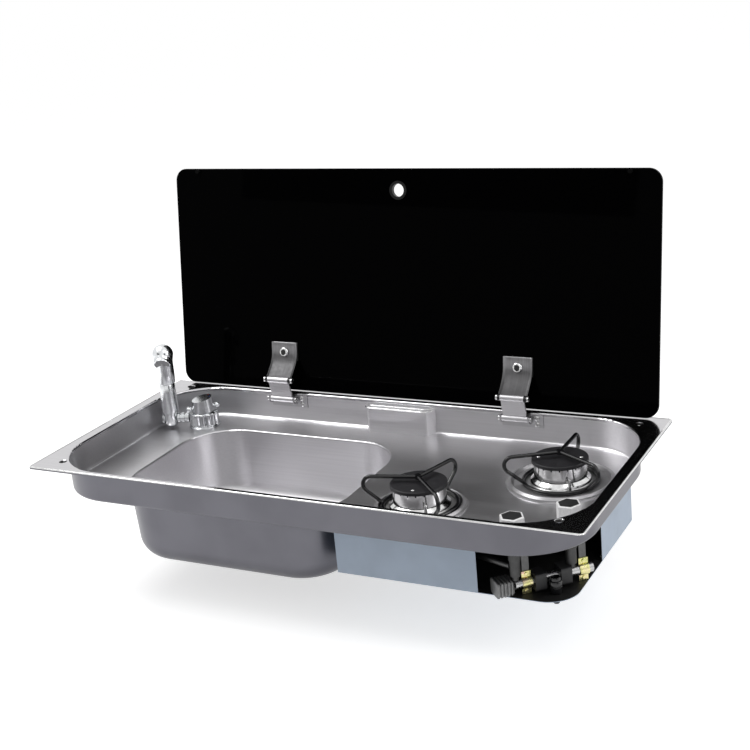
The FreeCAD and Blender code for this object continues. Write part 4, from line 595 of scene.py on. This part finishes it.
def make_spout():
    """Pillar with a flat-sided foot, a parting line, a ball head and the hooded nozzle socket."""
    bm = bmesh.new()
    upright = axes_at(TAP, (0, 0, 1), TAP_SIDE)
    sections = [(math.sqrt(FOOT_RADIUS ** 2 - z * z), z) for z in FOOT_HEIGHTS]
    rings = [(min(FOOT_HALF, radius), radius, z) for radius, z in sections] + PILLAR
    for step in range(HEAD_STEPS):
        lift = math.radians(HEAD_ANGLE * step)
        reach = HEAD_RADIUS * math.cos(lift)
        rings.append((reach, reach, HEAD_HEIGHT + HEAD_RADIUS * math.sin(lift)))
    loft(bm, [[upright @ (point * MM) for point in oval(*ring)] for ring in rings])
    along = TAP_FORWARD * math.cos(NOZZLE_LEAN) - Vector((0, 0, math.sin(NOZZLE_LEAN)))
    turned(bm, NOZZLE_SOCKET, axes_at(TAP + Vector((0, 0, HEAD_HEIGHT)), along, TAP_SIDE))
    piece("spout", bm, [PILLAR_CHROME], "tap_spout", ["tap_spout"])


# Mixer drum and its foot, with the pan's floor at its own zero height
MIXER = Vector((-303.24, 111.93, -40.0))
FLUTES = 14
FLUTE_STEPS = 12
FLUTE_DEPTH = 2.6
MIXER_FOOT = [(11.5, -24.0), (11.5, 0.0), (22.6, 0.0), (23.0, 0.5), (23.0, 2.4), (22.4, 3.0), (20.0, 3.2)]
# Height, share of the flutes' depth and radius up the drum
DRUM = [
    (2.6, 0.0, 20.4), (3.4, 0.35, 21.6), (4.6, 0.9, 22.0), (7.0, 1.0, 22.0), (18.5, 1.0, 22.0),
    (20.6, 0.8, 21.8), (21.8, 0.3, 21.4), (22.6, 0.0, 20.8), (23.0, 0.0, 20.0), (23.0, 0.0, 6.2),
    (28.0, 0.0, 6.0)]
# Slope of the handle's top and the side it rises to; the dots' place from the middle, and their profile
HANDLE_SLOPE = math.atan2(9, 51)
HANDLE_TURN = math.radians(45)
DOT_OUT = 11.0
DOT_HEIGHT = 4.1
DOT = [(1.9, -0.2), (1.9, 0.15), (1.5, 0.35), (0.6, 0.45)]
DOTS = (("hot_mark", 5.0, (0.5, 0.015, 0.02)), ("cold_mark", -3.0, (0.015, 0.06, 0.45)))


def make_temperature_marks():
    """Two enamel dots by the high edge of the mixer handle."""
    middle = Vector((MIXER.x, MIXER.y, 0.0))
    slope, turn = HANDLE_SLOPE, HANDLE_TURN
    out, side = Vector((math.cos(turn), math.sin(turn), 0)), Vector((-math.sin(turn), math.cos(turn), 0))
    up = Vector((0, 0, math.cos(slope))) - out * math.sin(slope)
    for name, offset, color in DOTS:
        bm = bmesh.new()
        place = axes_at(middle + out * DOT_OUT + side * offset + Vector((0, 0, DOT_HEIGHT)), up, side)
        turned(bm, DOT, place, 24)
        piece(name, bm, [coated(name, color, 0.2, 0.3)], "mixer_handle")


def make_mixer():
    """Drum with deep flutes between round ribs on a stepped foot, and the shank below the pan."""
    bm = bmesh.new()
    upright = axes_at(MIXER, (0, 0, 1), (1, 0, 0))
    turned(bm, MIXER_FOOT, upright)
    rings = []
    for height, depth, radius in DRUM:
        ring = []
        for i in range(FLUTES * FLUTE_STEPS):
            turn = 2 * math.pi * i / (FLUTES * FLUTE_STEPS)
            reach = radius - FLUTE_DEPTH * depth * abs(math.cos(turn * FLUTES / 2)) ** 6
            ring.append(upright @ (Vector((reach * math.cos(turn), reach * math.sin(turn), height)) * MM))
        rings.append(ring)
    loft(bm, rings)
    piece("mixer", bm, [LOOKS["chrome"]], "mixer_body", ["mixer_body"])


# Step in the rear wall: each round edge has a depth behind its front, a lift above its top and a radius.
# It runs straight over a share of its length, and its ends sweep back
STEP_HALF = 46.0
STEP_FRONT = 148.0
STEP_TOP = -4.0
STEP_EDGES = ((0.0, 0.0, 1.1), (9.0, 0.6, 0.7))
STEP_RUN_OUT = 7.0
STEP_SWEEP = 9.0
STEP_STRAIGHT = 0.8
STEP_SPANS = 24


def make_step_edge():
    """The round pressed edge along the top of the step in the rear wall, running out to both sides."""
    bm = bmesh.new()
    for depth, lift, radius in STEP_EDGES:
        points = []
        for i in range(STEP_SPANS + 1):
            x = -1 + 2 * i / STEP_SPANS
            sweep = max(0.0, (abs(x) - STEP_STRAIGHT) / (1 - STEP_STRAIGHT)) ** 2
            points.append(Vector((x * (STEP_HALF + STEP_RUN_OUT), STEP_FRONT + depth + STEP_SWEEP * sweep,
                                  STEP_TOP + lift - radius * 0.4)))
        tube(bm, points, radius)
    piece("step_edge", bm, [LOOKS["polished_steel"]], "tray")


# Gas rail: its end, its direction and the direction across it
RAIL = Vector((279.0, -120.0, -103.0))
RAIL_ALONG = Vector((0.7095, 0.7047, 0.0))
RAIL_ACROSS = Vector((-0.7047, 0.7095, 0.0))
CASTING_MIDDLE = RAIL + RAIL_ACROSS * 10 + Vector((0, 0, -4.5))
CASTING_WIDTH = 24.0
CASTING_HEIGHT = 20.9
CASTING_ROUND = 4.5
CASTING_START = -24.0
RIBS = 5
RIB_PITCH = 4.4
# Distance along a rib, and how far its section is drawn in
RIB = ((0.0, 0.9), (0.4, 0.2), (0.8, 0.0), (2.2, 0.0), (2.6, 0.3), (2.9, 1.3), (4.1, 1.5))


def make_rail_casting():
    """Die-cast end of the gas rail, with ribs across it."""
    bm = bmesh.new()
    rings = []
    for i in range(RIBS):
        for along, inset in RIB:
            section = round_box(CASTING_WIDTH - 2 * inset, CASTING_HEIGHT - 2 * inset, CASTING_ROUND - inset)
            middle = CASTING_MIDDLE + RAIL_ALONG * (CASTING_START + i * RIB_PITCH + along)
            rings.append([(middle + RAIL_ACROSS * a + Vector((0, 0, b))) * MM for a, b in section])
    loft(bm, rings)
    piece("rail_casting", bm, [LOOKS["grey_casting"]], "rail_end_casting", ["rail_end_casting"])


# Gas inlet on the base plate, as (radius, height) above and below it
INLET = (320.51, -98.67, -118.0)
INLET_ABOVE = [
    (6.6, 0.0), (7.6, 0.4), (8.0, 1.0), (8.0, 9.0), (7.2, 9.6), (7.2, 10.6), (8.0, 11.2), (8.0, 15.4),
    (7.4, 16.2), (6.2, 16.6), (6.2, 19.4), (5.6, 20.6), (4.2, 21.0), (3.6, 20.4), (3.4, 17.0)]
INLET_BELOW = [
    (5.4, 0.2), (6.0, -0.3), (6.0, -5.4), (5.5, -6.3), (4.0, -6.5), (4.0, -13.2), (3.6, -13.7),
    (3.0, -13.8), (2.8, -13.4), (2.8, -8.0)]


def make_gas_inlet():
    """Inlet fitting: collared body above the base plate, shoulder and pipe end below it."""
    bm = bmesh.new()
    place = axes_at(INLET, (0, 0, 1), (1, 0, 0))
    turned(bm, INLET_ABOVE, place)
    turned(bm, INLET_BELOW, place)
    piece("inlet_fitting", bm, [LOOKS["black_enamel"]], "gas_inlet", ["gas_inlet"])


# Rolled edge of the rim: the bead's radius, how far in its middle runs and its share below the rim's top
RIM_WIDTH = 775.0
RIM_DEPTH = 365.0
RIM_TOP = 3.0
RIM_CORNER = 6.0
BEAD = 1.6
BEAD_INSET = BEAD + 0.1
BEAD_SINK = 0.65
BEAD_SIDES = 16


def make_rim_bead():
    """The rolled outer edge of the rim, a little proud of the flange."""
    bm = bmesh.new()
    path = round_box(RIM_WIDTH - 2 * BEAD_INSET, RIM_DEPTH - 2 * BEAD_INSET, RIM_CORNER - BEAD_INSET)
    points = [Vector((x, y, RIM_TOP - BEAD_SINK * BEAD)) for x, y in path]
    count = len(points)
    rows = []
    for i, point in enumerate(points):
        run = points[(i + 1) % count] - points[i - 1]
        place = axes_at(point, run, (0, 0, 1))
        rows.append([bm.verts.new(place @ (corner * MM)) for corner in oval(BEAD, BEAD, 0, BEAD_SIDES)])
    for row, after in zip(rows, rows[1:] + rows[:1]):
        for j in range(BEAD_SIDES):
            k = (j + 1) % BEAD_SIDES
            bm.faces.new((row[j], row[k], after[k], after[j]))
    piece("rim_bead", bm, [LOOKS["polished_steel"]], "tray")


KNOB_EDGE = 0.8
EDGE_ANGLE = math.radians(35)


def soften(node, width, segments=3):
    """Broken edges on a CAD node."""
    bevel = NODES[node].modifiers.new("soft_edges", "BEVEL")
    bevel.width = width * MM
    bevel.segments = segments
    bevel.limit_method = "ANGLE"
    bevel.angle_limit = EDGE_ANGLE
    bevel.harden_normals = True


for side in HINGE_X:
    make_leaf(side)
make_bolts()
make_spout()
make_temperature_marks()
make_mixer()
make_step_edge()
make_rail_casting()
make_gas_inlet()
make_rim_bead()
for burner in BURNERS:
    soften(f"{burner}_knob", KNOB_EDGE)


# Stage

FLOOR_REACH = 30.0


def seen_by_camera(tree):
    """1 for rays that show the background: camera, glossy and transmission rays."""
    path = tree.nodes.new("ShaderNodeLightPath")
    total = path.outputs["Is Camera Ray"]
    for name in ("Is Glossy Ray", "Is Transmission Ray"):
        either = tree.nodes.new("ShaderNodeMath")
        either.operation = "MAXIMUM"
        tree.links.new(total, either.inputs[0])
        tree.links.new(path.outputs[name], either.inputs[1])
        total = either.outputs[0]
    return total


def make_world(ambient):
    """White surroundings, less bright as a light than as a background."""
    world = bpy.data.worlds.new("studio")
    world.use_nodes = True
    tree = world.node_tree
    strength = tree.nodes.new("ShaderNodeMapRange")
    strength.inputs["To Min"].default_value = ambient
    strength.inputs["To Max"].default_value = 1.0
    tree.links.new(seen_by_camera(tree), strength.inputs["Value"])
    background = tree.nodes["Background"]
    background.inputs["Color"].default_value = (1.0, 1.0, 1.0, 1.0)
    tree.links.new(strength.outputs["Result"], background.inputs["Strength"])
    bpy.context.scene.world = world


def make_floor(glow):
    """A white floor under the unit, which shows as bright as the background."""
    mesh = bpy.data.meshes.new("floor")
    corners = [(-1, -1), (1, -1), (1, 1), (-1, 1)]
    points = [(x * FLOOR_REACH, y * FLOOR_REACH, CAD_BOX[0].z) for x, y in corners]
    mesh.from_pydata(points, [], [(0, 1, 2, 3)])
    floor = bpy.data.objects.new("floor", mesh)
    bpy.context.scene.collection.objects.link(floor)
    material = bpy.data.materials.new("floor_white")
    material.use_nodes = True
    tree = material.node_tree
    shader = tree.nodes["Principled BSDF"]
    shader.inputs["Base Color"].default_value = (0.8, 0.8, 0.8, 1.0)
    shader.inputs["Roughness"].default_value = 0.9
    shader.inputs["Specular IOR Level"].default_value = 0.0
    shader.inputs["Emission Color"].default_value = (1.0, 1.0, 1.0, 1.0)
    strength = tree.nodes.new("ShaderNodeMath")
    strength.operation = "MULTIPLY"
    strength.inputs[1].default_value = glow
    tree.links.new(seen_by_camera(tree), strength.inputs[0])
    tree.links.new(strength.outputs[0], shader.inputs["Emission Strength"])
    mesh.materials.append(material)


def softbox(name, place, aim, size, power):
    """A soft rectangular lamp at a place, aimed at a point."""
    data = bpy.data.lights.new(name, "AREA")
    data.shape = "RECTANGLE"
    data.size, data.size_y = size
    data.energy = power
    lamp = bpy.data.objects.new(name, data)
    lamp.location = place
    lamp.rotation_mode = "QUATERNION"
    lamp.rotation_quaternion = (Vector(aim) - Vector(place)).to_track_quat("-Z", "Y")
    bpy.context.scene.collection.objects.link(lamp)


def flag(name, place, aim, size, level):
    """A card beside the picture that gives bright metal something darker to reflect."""
    mesh = bpy.data.meshes.new(name)
    wide, tall = size[0] / 2, size[1] / 2
    corners = [(-wide, -tall, 0), (wide, -tall, 0), (wide, tall, 0), (-wide, tall, 0)]
    mesh.from_pydata(corners, [], [(0, 1, 2, 3)])
    mesh.materials.append(coated(name, shade(level), 0.8, 0.9))
    card = bpy.data.objects.new(name, mesh)
    card.rotation_mode = "QUATERNION"
    card.rotation_quaternion = (Vector(aim) - Vector(place)).to_track_quat("Z", "Y")
    card.location = place
    card.visible_camera = False
    bpy.context.scene.collection.objects.link(card)


make_world(0.5)
make_floor(0.6)
softbox("overhead_left", (-1.0, -0.25, 1.5), (0.0, 0.0, 0.0), (1.0, 0.9), 20.0)
softbox("overhead_right", (0.9, -0.4, 1.5), (0.0, 0.0, 0.0), (0.8, 0.8), 3.0)
softbox("right_window", (2.0, 0.3, 0.8), (0.2, 0.0, 0.0), (1.0, 1.0), 9.0)
flag("flag_right", (1.9, -1.3, 0.6), (0.0, 0.0, 0.1), (0.7, 1.5), 0.02)
flag("flag_front", (-0.85, -1.8, 0.78), (0.1, 0.0, 0.0), (1.2, 0.75), 0.15)

# Camera, fitted to the photograph's square frame
CAMERA_TARGET = Vector((52.43, 0.0, 101.51)) * MM
CAMERA_DISTANCE = 1759.65 * MM
CAMERA_AZIMUTH = math.radians(28.4)
CAMERA_ELEVATION = math.radians(18.26)
CAMERA_ROLL = math.radians(-5.4)
SENSOR = 36.0
PICTURE_WIDTH = 750
FOCAL_PIXELS = 1375.62
LENS = SENSOR * FOCAL_PIXELS / PICTURE_WIDTH


def make_camera():
    """The camera, with its roll about the line of sight."""
    level = math.cos(CAMERA_ELEVATION)
    side, ahead = math.sin(CAMERA_AZIMUTH) * level, -math.cos(CAMERA_AZIMUTH) * level
    back = Vector((side, ahead, math.sin(CAMERA_ELEVATION)))
    right = Vector((0, 0, 1)).cross(back).normalized()
    up = back.cross(right)
    cosine, sine = math.cos(CAMERA_ROLL), math.sin(CAMERA_ROLL)
    axes = (right * cosine + up * sine, up * cosine - right * sine, back)
    data = bpy.data.cameras.new("camera")
    data.lens = LENS
    data.sensor_width = SENSOR
    data.clip_end = 100.0
    camera = bpy.data.objects.new("camera", data)
    place = Matrix.Translation(CAMERA_TARGET + back * CAMERA_DISTANCE)
    camera.matrix_world = place @ Matrix(axes).transposed().to_4x4()
    bpy.context.scene.collection.objects.link(camera)
    bpy.context.scene.camera = camera


make_camera()
bpy.context.scene.view_settings.view_transform = "Standard"
